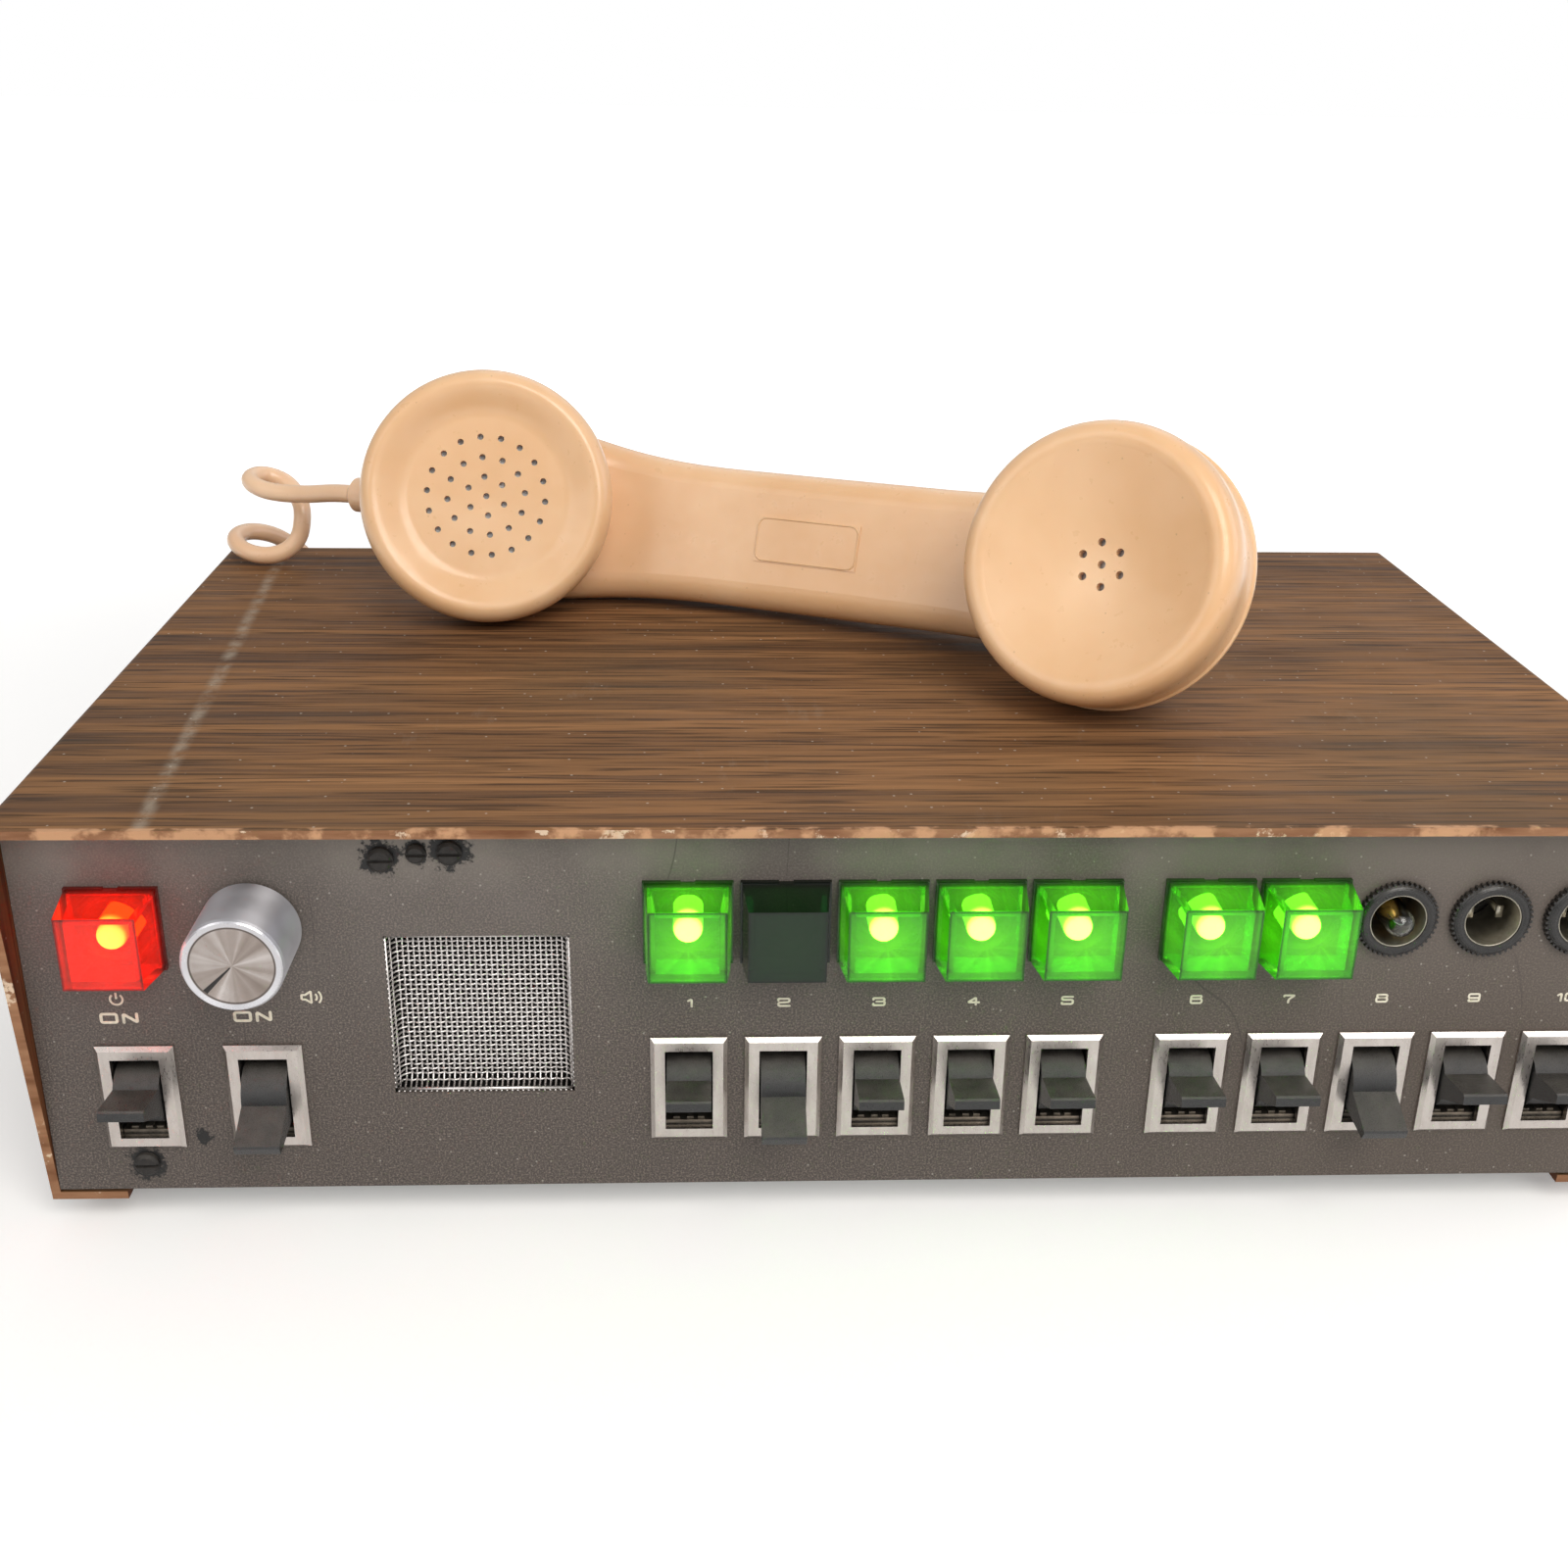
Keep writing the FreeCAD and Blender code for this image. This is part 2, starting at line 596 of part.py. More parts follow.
def paddle(name, place):
    """A drum on two stub pivots, with a flat-topped blade standing out of it."""
    x, z = place
    half = OPENING_W / 2 - PADDLE_SIDE_GAP
    drum = rod(DRUM_R, (x - half, DRUM_BACK, z), (x + half, DRUM_BACK, z))
    tip_low = BLADE_TOP - BLADE_TIP_T
    outline = [(0, BLADE_TOP), (-BLADE_REACH + 0.4, BLADE_TOP), (-BLADE_REACH, BLADE_TOP - 0.4),
               (-BLADE_REACH, tip_low), (-DRUM_R * 0.9, -BLADE_ROOT_DROP),
               (0, -BLADE_ROOT_DROP), (0, BLADE_TOP)]
    wire = Part.makePolygon([Vector(x - half, DRUM_BACK + a, z + b) for a, b in outline])
    blade = Part.Face(wire).extrude(X * 2 * half)
    pin_half = OPENING_W / 2 + SWITCH_WALL * 0.8
    pins = rod(PIVOT_R, (x - pin_half, DRUM_BACK, z), (x + pin_half, DRUM_BACK, z))
    solid = joined([drum, blade, pins])
    turn = PADDLE_DOWN_DEG if name in DOWN_SWITCHES else -PADDLE_UP_DEG
    solid.rotate(Vector(x, DRUM_BACK, z), X, turn)
    return solid


# Volume control
def volume_knob():
    x, z = KNOB_PLACE
    front, face_r = KNOB_LENGTH, KNOB_R - KNOB_BEVEL
    nut_room = BUSH_PROUD + 0.6
    bore = SHAFT_R + SHAFT_GAP * 0.2
    points = [(KNOB_UNDERCUT_R, KNOB_GAP), (KNOB_R, KNOB_GAP), (KNOB_R, front - 3 * KNOB_RIM),
              (KNOB_R - KNOB_RIM, front - KNOB_RIM), (KNOB_R - 2 * KNOB_RIM, front),
              (face_r, front - KNOB_FACE_SINK),
              (0, front - KNOB_FACE_SINK), (0, front - KNOB_BORE_END), (bore, front - KNOB_BORE_END),
              (bore, nut_room), (KNOB_UNDERCUT_R, nut_room)]
    knob = turned(points, (x, 0, z))
    y = -(front - GRUB_FROM_FRONT)
    grub_hole = rod(GRUB_R, (x, y, z - SHAFT_R), (x, y, z - KNOB_R - 1))
    return knob.cut(grub_hole)


def knob_grub_screw():
    x, z = KNOB_PLACE
    y = -(KNOB_LENGTH - GRUB_FROM_FRONT)
    screw = rod(GRUB_R, (x, y, z - SHAFT_R), (x, y, z - KNOB_R + 1.2))
    slot = box((x - GRUB_R, y - 0.3, z - KNOB_R + 0.2), (x + GRUB_R, y + 0.3, z - KNOB_R + 2.0))
    return screw.cut(slot)


def pot_shaft():
    x, z = KNOB_PLACE
    return rod(SHAFT_R, (x, PANEL_T + POT_DEEP - 2, z), (x, KNOB_BORE_END - KNOB_LENGTH, z))


def pot_body():
    x, z = KNOB_PLACE
    case = rod(POT_R, (x, PANEL_T, z), (x, PANEL_T + POT_DEEP, z))
    bush = rod(BUSH_R, (x, PANEL_T, z), (x, -BUSH_PROUD, z))
    bore = rod(SHAFT_R + SHAFT_GAP, (x, PANEL_T + POT_DEEP - 2, z), (x, -BUSH_PROUD - 1, z))
    lugs = [box((x + dx - 1.2, PANEL_T + 4, z - POT_R - 6), (x + dx + 1.2, PANEL_T + 4.8, z - POT_R + 3))
            for dx in (-5, 0, 5)]
    return joined([case, bush] + lugs).cut(bore)


def pot_nut():
    x, z = KNOB_PLACE
    return hex_nut((x, 0, z), POT_NUT_R, POT_NUT_T, BUSH_R, (0, -1, 0))


# Speaker
def speaker_grille():
    """A dished tray of woven wire behind the panel, with a flange that the speaker clamps."""
    x, z = GRILLE_PLACE
    front, back = PANEL_T, PANEL_T + GRILLE_DEEP

    def ring(width, height, y):
        w, h = width / 2, height / 2
        corners = [(x - w, z - h), (x + w, z - h), (x + w, z + h), (x - w, z + h), (x - w, z - h)]
        return Part.makePolygon([Vector(a, y, b) for a, b in corners])

    t = GRILLE_WIRE_T
    inner_w, inner_h = GRILLE_W - 2 * GRILLE_SLOPE, GRILLE_H - 2 * GRILLE_SLOPE
    outer = Part.makeLoft([ring(GRILLE_W + 2 * t, GRILLE_H + 2 * t, front),
                           ring(inner_w + 2 * t, inner_h + 2 * t, back)],
                          True, True)
    inner = Part.makeLoft([ring(GRILLE_W, GRILLE_H, front), ring(inner_w, inner_h, back - t)], True, True)
    flange = plate_ring(GRILLE_W + 2 * GRILLE_FLANGE, GRILLE_H + 2 * GRILLE_FLANGE,
                        front, front + t, GRILLE_PLACE)
    tray = flange.fuse(outer).cut(inner)
    step_x, step_z = (inner_w - 1) / GRILLE_HOLES, (inner_h - 1) / GRILLE_HOLES
    holes = []
    for i in range(GRILLE_HOLES):
        for k in range(GRILLE_HOLES):
            hx = x + (i - (GRILLE_HOLES - 1) / 2) * step_x
            hz = z + (k - (GRILLE_HOLES - 1) / 2) * step_z
            holes.append(plate_ring(step_x - GRILLE_BAR, step_z - GRILLE_BAR,
                                    back - t - 0.5, back + 0.5, (hx, hz)))
    return tray.cut(group(holes))


def speaker_basket():
    x, z = GRILLE_PLACE
    front = PANEL_T + GRILLE_WIRE_T
    flange = plate_ring(SPEAKER_FLANGE, SPEAKER_FLANGE, front, front + SPEAKER_FLANGE_T, GRILLE_PLACE)
    w, straight, deep = BASKET_WALL, BASKET_STRAIGHT, BASKET_DEEP
    points = [(SPEAKER_R, 0), (SPEAKER_R + w, 0), (SPEAKER_R + w, -straight), (BASKET_BACK_R + w, -deep),
              (0, -deep), (0, -deep + w), (BASKET_BACK_R, -deep + w), (SPEAKER_R, -straight)]
    shell = turned(points, (x, front, z))
    hole = rod(SPEAKER_R, (x, front - 1, z), (x, front + SPEAKER_FLANGE_T + 1, z))
    frame = flange.cut(hole).fuse(shell)
    windows = []
    for i in range(4):
        block = box((-5, front + straight + 1.5, 10), (5, front + deep - 2.5, SPEAKER_R + 4))
        block.rotate(Vector(0, 0, 0), Y, 90 * i + 45)
        block.translate(Vector(x, 0, z))
        windows.append(block)
    return frame.cut(windows).removeSplitter()


def speaker_cone():
    x, z = GRILLE_PLACE
    front = PANEL_T + GRILLE_WIRE_T
    rim, deep = BASKET_STRAIGHT - CONE_T, BASKET_DEEP - BASKET_WALL
    points = [(SPEAKER_R, -rim), (SPEAKER_R, -rim - CONE_T), (SPEAKER_R - 2.5, -rim - CONE_T),
              (CONE_NECK_R, -deep + 2), (CONE_NECK_R, -deep), (CONE_NECK_R - CONE_T, -deep),
              (CONE_NECK_R - CONE_T, -deep + 2 + CONE_T), (0, -deep + 4), (0, -deep + 4 + CONE_T),
              (CONE_NECK_R, -deep + 2 + 2 * CONE_T), (SPEAKER_R - 2.5, -rim)]
    return turned(points, (x, front, z))


def speaker_magnet():
    x, z = GRILLE_PLACE
    start = PANEL_T + GRILLE_WIRE_T + BASKET_DEEP
    return rod(MAGNET_R, (x, start, z), (x, start + MAGNET_DEEP, z))


# Rear fittings
def rear_cord_bush():
    x, z = REAR_BUSH_X, REAR_BUSH_Z
    points = [(CORD_R, -REAR_PANEL_T - 3), (REAR_BUSH_R + 1.5, -REAR_PANEL_T - 3),
              (REAR_BUSH_R + 1.5, -REAR_PANEL_T), (REAR_BUSH_R, -REAR_PANEL_T),
              (REAR_BUSH_R, 0), (REAR_BUSH_R + 1.5, 0), (REAR_BUSH_R + 1.5, 2),
              (CORD_R + 1.2, REAR_BUSH_LENGTH), (CORD_R, REAR_BUSH_LENGTH)]
    bush = turned(points, (x, REAR_FACE, z), Y)
    core = rod(CORD_R, (x, REAR_PANEL_Y - 3, z), (x, REAR_REACH - 1, z))
    return bush.fuse(core).removeSplitter()


def mains_grommet():
    r, bore, lip = GROMMET_R, GROMMET_BORE_R, GROMMET_LIP
    points = [(bore, -REAR_PANEL_T - lip), (r - 0.6, -REAR_PANEL_T - lip), (r, -REAR_PANEL_T),
              (r - lip, -REAR_PANEL_T), (r - lip, 0), (r, 0), (r - 0.6, lip), (bore, lip)]
    return turned(points, (GROMMET_X, REAR_FACE, GROMMET_Z), Y)


def fuse_holder():
    x, z = FUSE_X, FUSE_Z
    body = rod(FUSE_R, (x, REAR_FACE, z), (x, REAR_FACE - FUSE_BODY_L, z))
    flange = rod(FUSE_CAP_R + 1, (x, REAR_FACE, z), (x, REAR_FACE + 2, z))
    cap = rod(FUSE_CAP_R - 1, (x, REAR_FACE + 2, z), (x, REAR_FACE + FUSE_CAP_L, z))
    slot = box((x - FUSE_CAP_R, REAR_FACE + FUSE_CAP_L - 1.5, z - 0.6),
               (x + FUSE_CAP_R, REAR_FACE + FUSE_CAP_L + 1, z + 0.6))
    nut = rod(FUSE_CAP_R + 1.5, (x, REAR_PANEL_Y, z), (x, REAR_PANEL_Y - 3, z))
    return joined([body, flange, cap, nut]).cut(slot)


def strip_columns():
    count = int((STRIP_W - STRIP_PITCH / 2) // STRIP_PITCH)
    return [STRIP_X + (i - (count - 1) / 2) * STRIP_PITCH for i in range(count)]


def terminal_strip():
    base = box((STRIP_X - STRIP_W / 2, REAR_FACE, STRIP_Z - STRIP_H / 2),
               (STRIP_X + STRIP_W / 2, REAR_FACE + STRIP_T * 0.55, STRIP_Z + STRIP_H / 2))
    columns = strip_columns()
    walls = [x - STRIP_PITCH / 2 for x in columns] + [columns[-1] + STRIP_PITCH / 2]
    fins = [box((x - 0.8, REAR_FACE, STRIP_Z - STRIP_H / 2),
                (x + 0.8, REAR_FACE + STRIP_T, STRIP_Z + STRIP_H / 2))
            for x in walls]
    return joined([base] + fins)


def terminal_screws():
    seat = REAR_FACE + STRIP_T * 0.55
    screws = []
    for x in strip_columns():
        for dz in (-STRIP_H / 4, STRIP_H / 4):
            head = rod(STRIP_SCREW_R, (x, seat, STRIP_Z + dz), (x, seat + 1.8, STRIP_Z + dz))
            slot = box((x - STRIP_SCREW_R, seat + 1.1, STRIP_Z + dz - 0.4),
                       (x + STRIP_SCREW_R, seat + 2, STRIP_Z + dz + 0.4))
            screws.append(head.cut(slot))
    return group(screws)


# Electronics
def board_corners():
    dx, dy = BOARD_W / 2 - STANDOFF_INSET, BOARD_D / 2 - STANDOFF_INSET
    return [(BOARD_X + a * dx, BOARD_Y + b * dy) for a in (-1, 1) for b in (-1, 1)]


def circuit_board():
    low = TRAY_FLOOR + STANDOFF_H
    board = box((BOARD_X - BOARD_W / 2, BOARD_Y - BOARD_D / 2, low),
                (BOARD_X + BOARD_W / 2, BOARD_Y + BOARD_D / 2, low + BOARD_T))
    top = low + BOARD_T
    parts = []
    for i in range(10):
        x = BOARD_X + (i - 4.5) * (BOARD_W - 30) / 10
        parts.append(box((x - 5, BOARD_Y - 30, top), (x + 5, BOARD_Y - 12, top + 12)))
        parts.append(rod(4, (x, BOARD_Y + 10, top), (x, BOARD_Y + 10, top + 11)))
        parts.append(rod(1.5, (x - 4, BOARD_Y + 28, top + 1.5), (x + 4, BOARD_Y + 28, top + 1.5)))
    return joined([board] + parts)


def board_standoffs():
    return group([rod(STANDOFF_R, (x, y, TRAY_FLOOR), (x, y, TRAY_FLOOR + STANDOFF_H))
                  for x, y in board_corners()])


def transformer_core():
    x, y, z = TRANSFORMER_X, TRANSFORMER_Y, TRAY_FLOOR
    half, deep = CORE_W / 2, CORE_D / 2
    core = box((x - half, y - deep, z), (x + half, y + deep, z + CORE_H))
    cuts = []
    for side in (-1, 1):
        inner = x + side * (half - CORE_LEG)
        outer = inner - side * WINDOW_W
        cuts.append(box((min(inner, outer), y - deep - 1, z + CORE_LEG),
                        (max(inner, outer), y + deep + 1, z + CORE_H - CORE_LEG)))
    return core.cut(cuts)


def transformer_coil():
    x, y, z = TRANSFORMER_X, TRANSFORMER_Y, TRAY_FLOOR + CORE_LEG
    outer_half, leg_half = CORE_W / 2 - CORE_LEG, CORE_W / 2 - CORE_LEG - WINDOW_W
    height = CORE_H - 2 * CORE_LEG
    winding = box((x - outer_half, y - COIL_D / 2, z), (x + outer_half, y + COIL_D / 2, z + height))
    edges = [e for e in winding.Edges if e.BoundBox.ZLength > 1]
    winding = winding.makeFillet(min(WINDOW_W, (COIL_D - CORE_D) / 2) * 0.9, edges)
    leg = box((x - leg_half, y - CORE_D / 2, z - 1), (x + leg_half, y + CORE_D / 2, z + height + 1))
    return winding.cut(leg)


def filter_capacitor():
    x, y, z = CAPACITOR_X, CAPACITOR_Y, TRAY_FLOOR
    points = [(0, 0), (CAPACITOR_R + 1.5, 0), (CAPACITOR_R + 1.5, 4), (CAPACITOR_R, 4),
              (CAPACITOR_R, CAPACITOR_H - 1.5),
              (CAPACITOR_R - 1.5, CAPACITOR_H), (0, CAPACITOR_H)]
    return turned(points, (x, y, z), Z)


# Handset, built in its own frame
def cap_place(side):
    """The middle of a cap and the way that it faces; side is -1 for the transmitter."""
    turn = math.radians(TRANSMITTER_TURN if side < 0 else RECEIVER_TURN)
    centre = Vector(side * CAP_SPACING / 2, 0, 0)
    facing = Vector(-side * math.sin(turn), -math.cos(turn), 0)
    return centre, facing


def on_cap(shape, side):
    centre, facing = cap_place(side)
    result = shape.copy()
    result.Placement = FreeCAD.Placement(centre, Rotation(Z, facing)).multiply(result.Placement)
    return result


def cap_back(side):
    return TRANSMITTER_CAP_BACK if side < 0 else RECEIVER_CAP_BACK


def neck_top(side):
    return CUP_NECK_UP - cap_back(side)


def capsule_top(side):
    return neck_top(side) + 1.2


def transmitter_cap():
    back, crest, r = TRANSMITTER_CAP_BACK, TRANSMITTER_CAP_CREST, CAP_R
    inner_r = r - CAP_WALL
    floor = crest - 0.5 - DISH_SINK
    under = capsule_top(-1)
    halfway = (DISH_OUTER_R + DISH_INNER_R) / 2
    outer = [(inner_r, -back), (r - 0.9, -back), (r - 0.3, -back * 0.6), (r, -back * 0.2),
             (r - 0.1, crest * 0.3), (r - 1.0, crest * 0.72), (r - CAP_CREST_IN, crest),
             (DISH_OUTER_R, crest - 0.5), (halfway, crest - 0.5 - DISH_SINK * 0.5),
             (DISH_INNER_R, floor + 0.2), (DISH_INNER_R - 1.5, floor), (0, floor - 0.6)]
    inside = [(0, under), (inner_r - 1.5, under), (inner_r, under - 1.2)]
    cap = turned(outer + inside, (0, 0, 0), Z, [(1, 10)])
    holes = [Part.makeCylinder(DISH_HOLE_R, back + crest, Vector(0, 0, -back))]
    for ring_r, count in zip(DISH_RINGS, DISH_RING_HOLES):
        for i in range(count):
            a = 2 * math.pi * i / count + math.radians(DISH_TURN)
            place = Vector(ring_r * math.cos(a), ring_r * math.sin(a), -back)
            holes.append(Part.makeCylinder(DISH_HOLE_R, back + crest, place))
    return on_cap(cap.cut(group(holes)), -1)


def receiver_cap():
    back, crest, r = RECEIVER_CAP_BACK, RECEIVER_CAP_CREST, CAP_R
    inner_r = r - CAP_WALL
    floor = crest - 0.6 - BOWL_SINK
    under = capsule_top(1)
    outer = [(inner_r, -back), (r + 0.3, -back), (r + 0.3, -back + 0.8), (r - 0.2, -back + 1.2),
             (r, -back * 0.3), (r - 0.2, crest * 0.3), (r - 1.2, crest * 0.75), (r - CAP_CREST_IN, crest),
             (BOWL_R + 0.8, crest - 0.25),
             (BOWL_R, crest - 0.6), (BOWL_R * 0.72, crest - 0.6 - BOWL_SINK * 0.42),
             (BOWL_R * 0.4, crest - 0.6 - BOWL_SINK * 0.8), (BOWL_R * 0.15, floor + 0.15), (0, floor)]
    inside = [(0, under), (inner_r - 1.5, under), (inner_r, under - 1.2)]
    cap = turned(outer + inside, (0, 0, 0), Z, [(3, 9), (9, 13)])
    holes = [Part.makeCylinder(BOWL_HOLE_R, back + crest, Vector(0, 0, -back))]
    for i in range(BOWL_HOLES):
        a = 2 * math.pi * (i + 0.5) / BOWL_HOLES
        place = Vector(BOWL_RING_R * math.cos(a), BOWL_RING_R * math.sin(a), -back)
        holes.append(Part.makeCylinder(BOWL_HOLE_R, back + crest, place))
    return on_cap(cap.cut(group(holes)), 1)


def capsule(side):
    """A receiver or transmitter unit: a disc whose rim sits on the cup's neck under the cap."""
    top = capsule_top(side)
    neck = neck_top(side)
    rim = CAVITY_R + 1.4
    points = [(0, top), (rim, top), (rim, neck), (CAPSULE_R, neck), (CAPSULE_R, neck + 1.2 - CAPSULE_T),
              (0, neck + 1.2 - CAPSULE_T)]
    return on_cap(turned(points, (0, 0, 0), Z), side)


def cup(side):
    """The round end of the handle, with the neck that the cap screws onto."""
    back, neck = cap_back(side), neck_top(side)
    neck_r = CAP_R - CAP_WALL - CUP_GAP
    low = -back - CUP_DEEP
    points = [(0, neck), (neck_r, neck), (neck_r, -back), (CUP_R, -back),
              (CUP_R - 1.4, -back - CUP_DEEP * 0.3), (CUP_R - 5, -back - CUP_DEEP * 0.65),
              (CUP_R - 9.5, low + 1.5), (CUP_BACK_R, low), (0, low)]
    return on_cap(turned(points, (0, 0, 0), Z, [(3, 7)]), side)


def cup_cavity(side):
    back, neck = cap_back(side), neck_top(side)
    hollow = Part.makeCylinder(CAVITY_R, CAVITY_DEEP, Vector(0, 0, neck - CAVITY_DEEP))
    return on_cap(hollow, side)


def grip_section(x, inner_y, outer_y, half_w):
    """A rounded rectangle across X, rounder on the outer side."""
    thick = outer_y - inner_y
    r = min(GRIP_INNER_CORNER, thick * 0.3)
    q = min(GRIP_OUTER_CORNER, thick * 0.6, half_w * 0.9)
    cut = 1 - math.sqrt(0.5)

    def at(y, z):
        return Vector(x, y, z)

    a, b, w = inner_y, outer_y, half_w
    edges = [
        Part.LineSegment(at(a + r, -w), at(b - q, -w)),
        Part.Arc(at(b - q, -w), at(b - q * cut, -w + q * cut), at(b, -w + q)),
        Part.LineSegment(at(b, -w + q), at(b, w - q)),
        Part.Arc(at(b, w - q), at(b - q * cut, w - q * cut), at(b - q, w)),
        Part.LineSegment(at(b - q, w), at(a + r, w)),
        Part.Arc(at(a + r, w), at(a + r * cut, w - r * cut), at(a, w - r)),
        Part.LineSegment(at(a, w - r), at(a, -w + r)),
        Part.Arc(at(a, -w + r), at(a + r * cut, -w + r * cut), at(a + r, -w)),
    ]
    return Part.Wire([e.toShape() for e in edges])


def handset_handle():
    """The moulded handle: a grip lofted through sections, and a cup at each end."""
    reach, straight = CAP_SPACING / 2, GRIP_STRAIGHT
    inner, outer, w = GRIP_INNER_Y, GRIP_INNER_Y + GRIP_THICK, GRIP_HALF_W
    sections = [
        (-reach - 20, 8, 20.5, w + 3.0),
        (-reach - 8, 17, 30.5, w + 5.5),
        (-reach + 6, inner * 0.62, outer - 12.5, w + 4.8),
        (-reach + 20, inner * 0.84, outer - 5.5, w + 2.2),
        (-straight, inner - 0.8, outer - 1.2, w + 0.3),
        (-straight * 0.5, inner, outer, w),
        (0, inner, outer + 0.4, w),
        (straight * 0.5, inner, outer, w),
        (straight, inner - 0.2, outer - 1.6, w + 0.2),
        (reach - 22, inner - 1.5, outer - 5.0, w + 1.6),
        (reach - 8, inner - 4.5, outer - 9.0, w + 4.2),
        (reach + 5, inner - 8.0, outer - 17.0, w + 5.0),
        (reach + 17, inner - 12.0, outer - 26.0, w + 2.0),
    ]
    grip = Part.makeLoft([grip_section(*s) for s in sections], True, False)
    solid = grip.fuse([cup(-1), cup(1)])
    channel_y = (inner + outer) / 2
    ends = []
    for side, bend in ((-1, WIRE_BEND_TRANSMITTER), (1, WIRE_BEND_RECEIVER)):
        centre, facing = cap_place(side)
        inwards = Vector(side * facing.y, -side * facing.x, 0)
        depth = CAVITY_DEEP - neck_top(side) - WIRE_CHANNEL_R
        start = centre - facing * depth + inwards * WIRE_INWARDS
        middle = Vector(side * (reach - bend[0]), inner + bend[1], 0)
        ends.append(rod(WIRE_CHANNEL_R, tuple(start), tuple(middle)))
        ends.append(rod(WIRE_CHANNEL_R, tuple(middle), (side * straight, channel_y, 0)))
        ends.append(Part.makeSphere(WIRE_CHANNEL_R, middle))
    channel = rod(WIRE_CHANNEL_R, (-straight, channel_y, 0), (straight, channel_y, 0))
    plate = box((PLATE_X - PLATE_W / 2, inner - PLATE_PROUD, -PLATE_H / 2),
                (PLATE_X + PLATE_W / 2, inner + 1, PLATE_H / 2))
    solid = solid.fuse(plate).cut([cup_cavity(-1), cup_cavity(1), channel] + ends)
    tip = bush_tip()
    inner_end = tip + X * HANDSET_BUSH_L
    bush_hole = rod(HANDSET_BUSH_R, tuple(tip), tuple(inner_end))
    wire_hole = rod(WIRE_HOLE_R, tuple(inner_end), (-reach, tip.y, tip.z))
    return solid.cut([bush_hole, wire_hole]).removeSplitter()


def bush_tip():
    """The outer end of the bush that the cord comes out of, past the transmitter's cup."""
    return Vector(-CAP_SPACING / 2 - HANDSET_BUSH_REACH, HANDSET_BUSH_Y, -HANDSET_BUSH_DROP)


def handset_cord_bush():
    long, r = HANDSET_BUSH_L, HANDSET_BUSH_R
    points = [(0, 0), (r, 0), (r, long - HANDSET_BUSH_TAPER), (HANDSET_BUSH_TIP_R, long), (0, long)]
    return turned(points, tuple(bush_tip() + X * long), -X)


def handset_turn():
    """How the handset is turned as it lies on the cabinet."""
    leaned = Rotation(Y, -HANDSET_ROLL).multiply(Rotation(X, -HANDSET_TILT))
    return Rotation(Z, HANDSET_YAW).multiply(leaned)


def handset():
    pieces = {
        "handset_handle": handset_handle(),
        "transmitter_cap": transmitter_cap(),
        "receiver_cap": receiver_cap(),
        "transmitter_capsule": capsule(-1),
        "receiver_capsule": capsule(1),
        "handset_cord_bush": handset_cord_bush(),
    }
    place = FreeCAD.Placement(Vector(HANDSET_X, HANDSET_Y, 0), handset_turn())
    placed = {name: moved(shape, place) for name, shape in pieces.items()}
    lowest = min(shape.optimalBoundingBox().ZMin for shape in placed.values())
    place.Base = place.Base + Z * (TOP_Z + HANDSET_SEAT_GAP - lowest)
    return {name: moved(shape, place) for name, shape in pieces.items()}, place


def moved(shape, place):
    result = shape.copy()
    result.Placement = place.multiply(result.Placement)
    return result


# Curly cord
def between(table, distance):
    """A value from a table of (distance, value), straight between its rows."""
    for (a, va), (b, vb) in zip(table, table[1:]):
        if distance <= b:
            return va + (vb - va) * (distance - a) / (b - a)
    return table[-1][1]


def curl_points():
    """The middle of the curls, point by point, and the curls run by each point."""
    poles = [Vector(*p) for p in CURL_LINE]
    line = Part.BSplineCurve()
    count = len(poles)
    line.buildFromPolesMultsKnots(poles, [3] + [1] * (count - 3) + [3], list(range(count - 1)), False, 2)
    run, turns = 0.0, CURL_START / 360
    side, last = -Y, None
    points = []
    for i in range(LINE_STEPS + 1):
        t = (count - 2) * i / LINE_STEPS
        here, along = line.value(t), line.tangent(t)[0]
        if last:
            step = (here - last).Length
            run += step
            turns += step / between(CURL_PITCH, run)
        side = (side - along * side.dot(along)).normalize()
        angle = 2 * math.pi * turns
        across = side * math.cos(angle) + along.cross(side) * math.sin(angle)
        points.append((here + across * CURL_R, turns))
        last = here
    return points


def curl_stations(points):
    """The first point, those at every quarter curl and the last, each with the cord's direction."""
    last = len(points) - 2
    chosen = [1] + [i for i in range(2, last) if int(points[i][1] * 4) > int(points[i - 1][1] * 4)] + [last]
    return [(points[i][0], (points[i + 1][0] - points[i - 1][0]).normalize()) for i in chosen]


def biarc(start, start_way, end, end_way):
    """Two arcs that join two points and take up the direction at each."""
    v, t = end - start, start_way + end_way
    spread = 1 - start_way.dot(end_way)
    if spread < 1e-9:
        reach = v.dot(v) / (4 * v.dot(end_way))
    else:
        reach = (-v.dot(t) + math.sqrt(v.dot(t) ** 2 + 2 * spread * v.dot(v))) / (2 * spread)
    joint = (start + start_way * reach + end - end_way * reach) * 0.5
    first = arc_from(start, start_way, joint)
    second = arc_from(end, end_way * -1, joint)
    return [Part.Arc(start, first, joint).toShape(), Part.Arc(joint, second, end).toShape()]


def arc_from(start, way, end):
    """The middle of the arc that leaves start along way and reaches end."""
    chord = end - start
    side = (chord - way * chord.dot(way)).normalize()
    centre = start + side * (chord.dot(chord) / (2 * chord.dot(side)))
    radius = (start - centre).Length
    return centre + ((start - centre) + (end - centre)).normalize() * radius


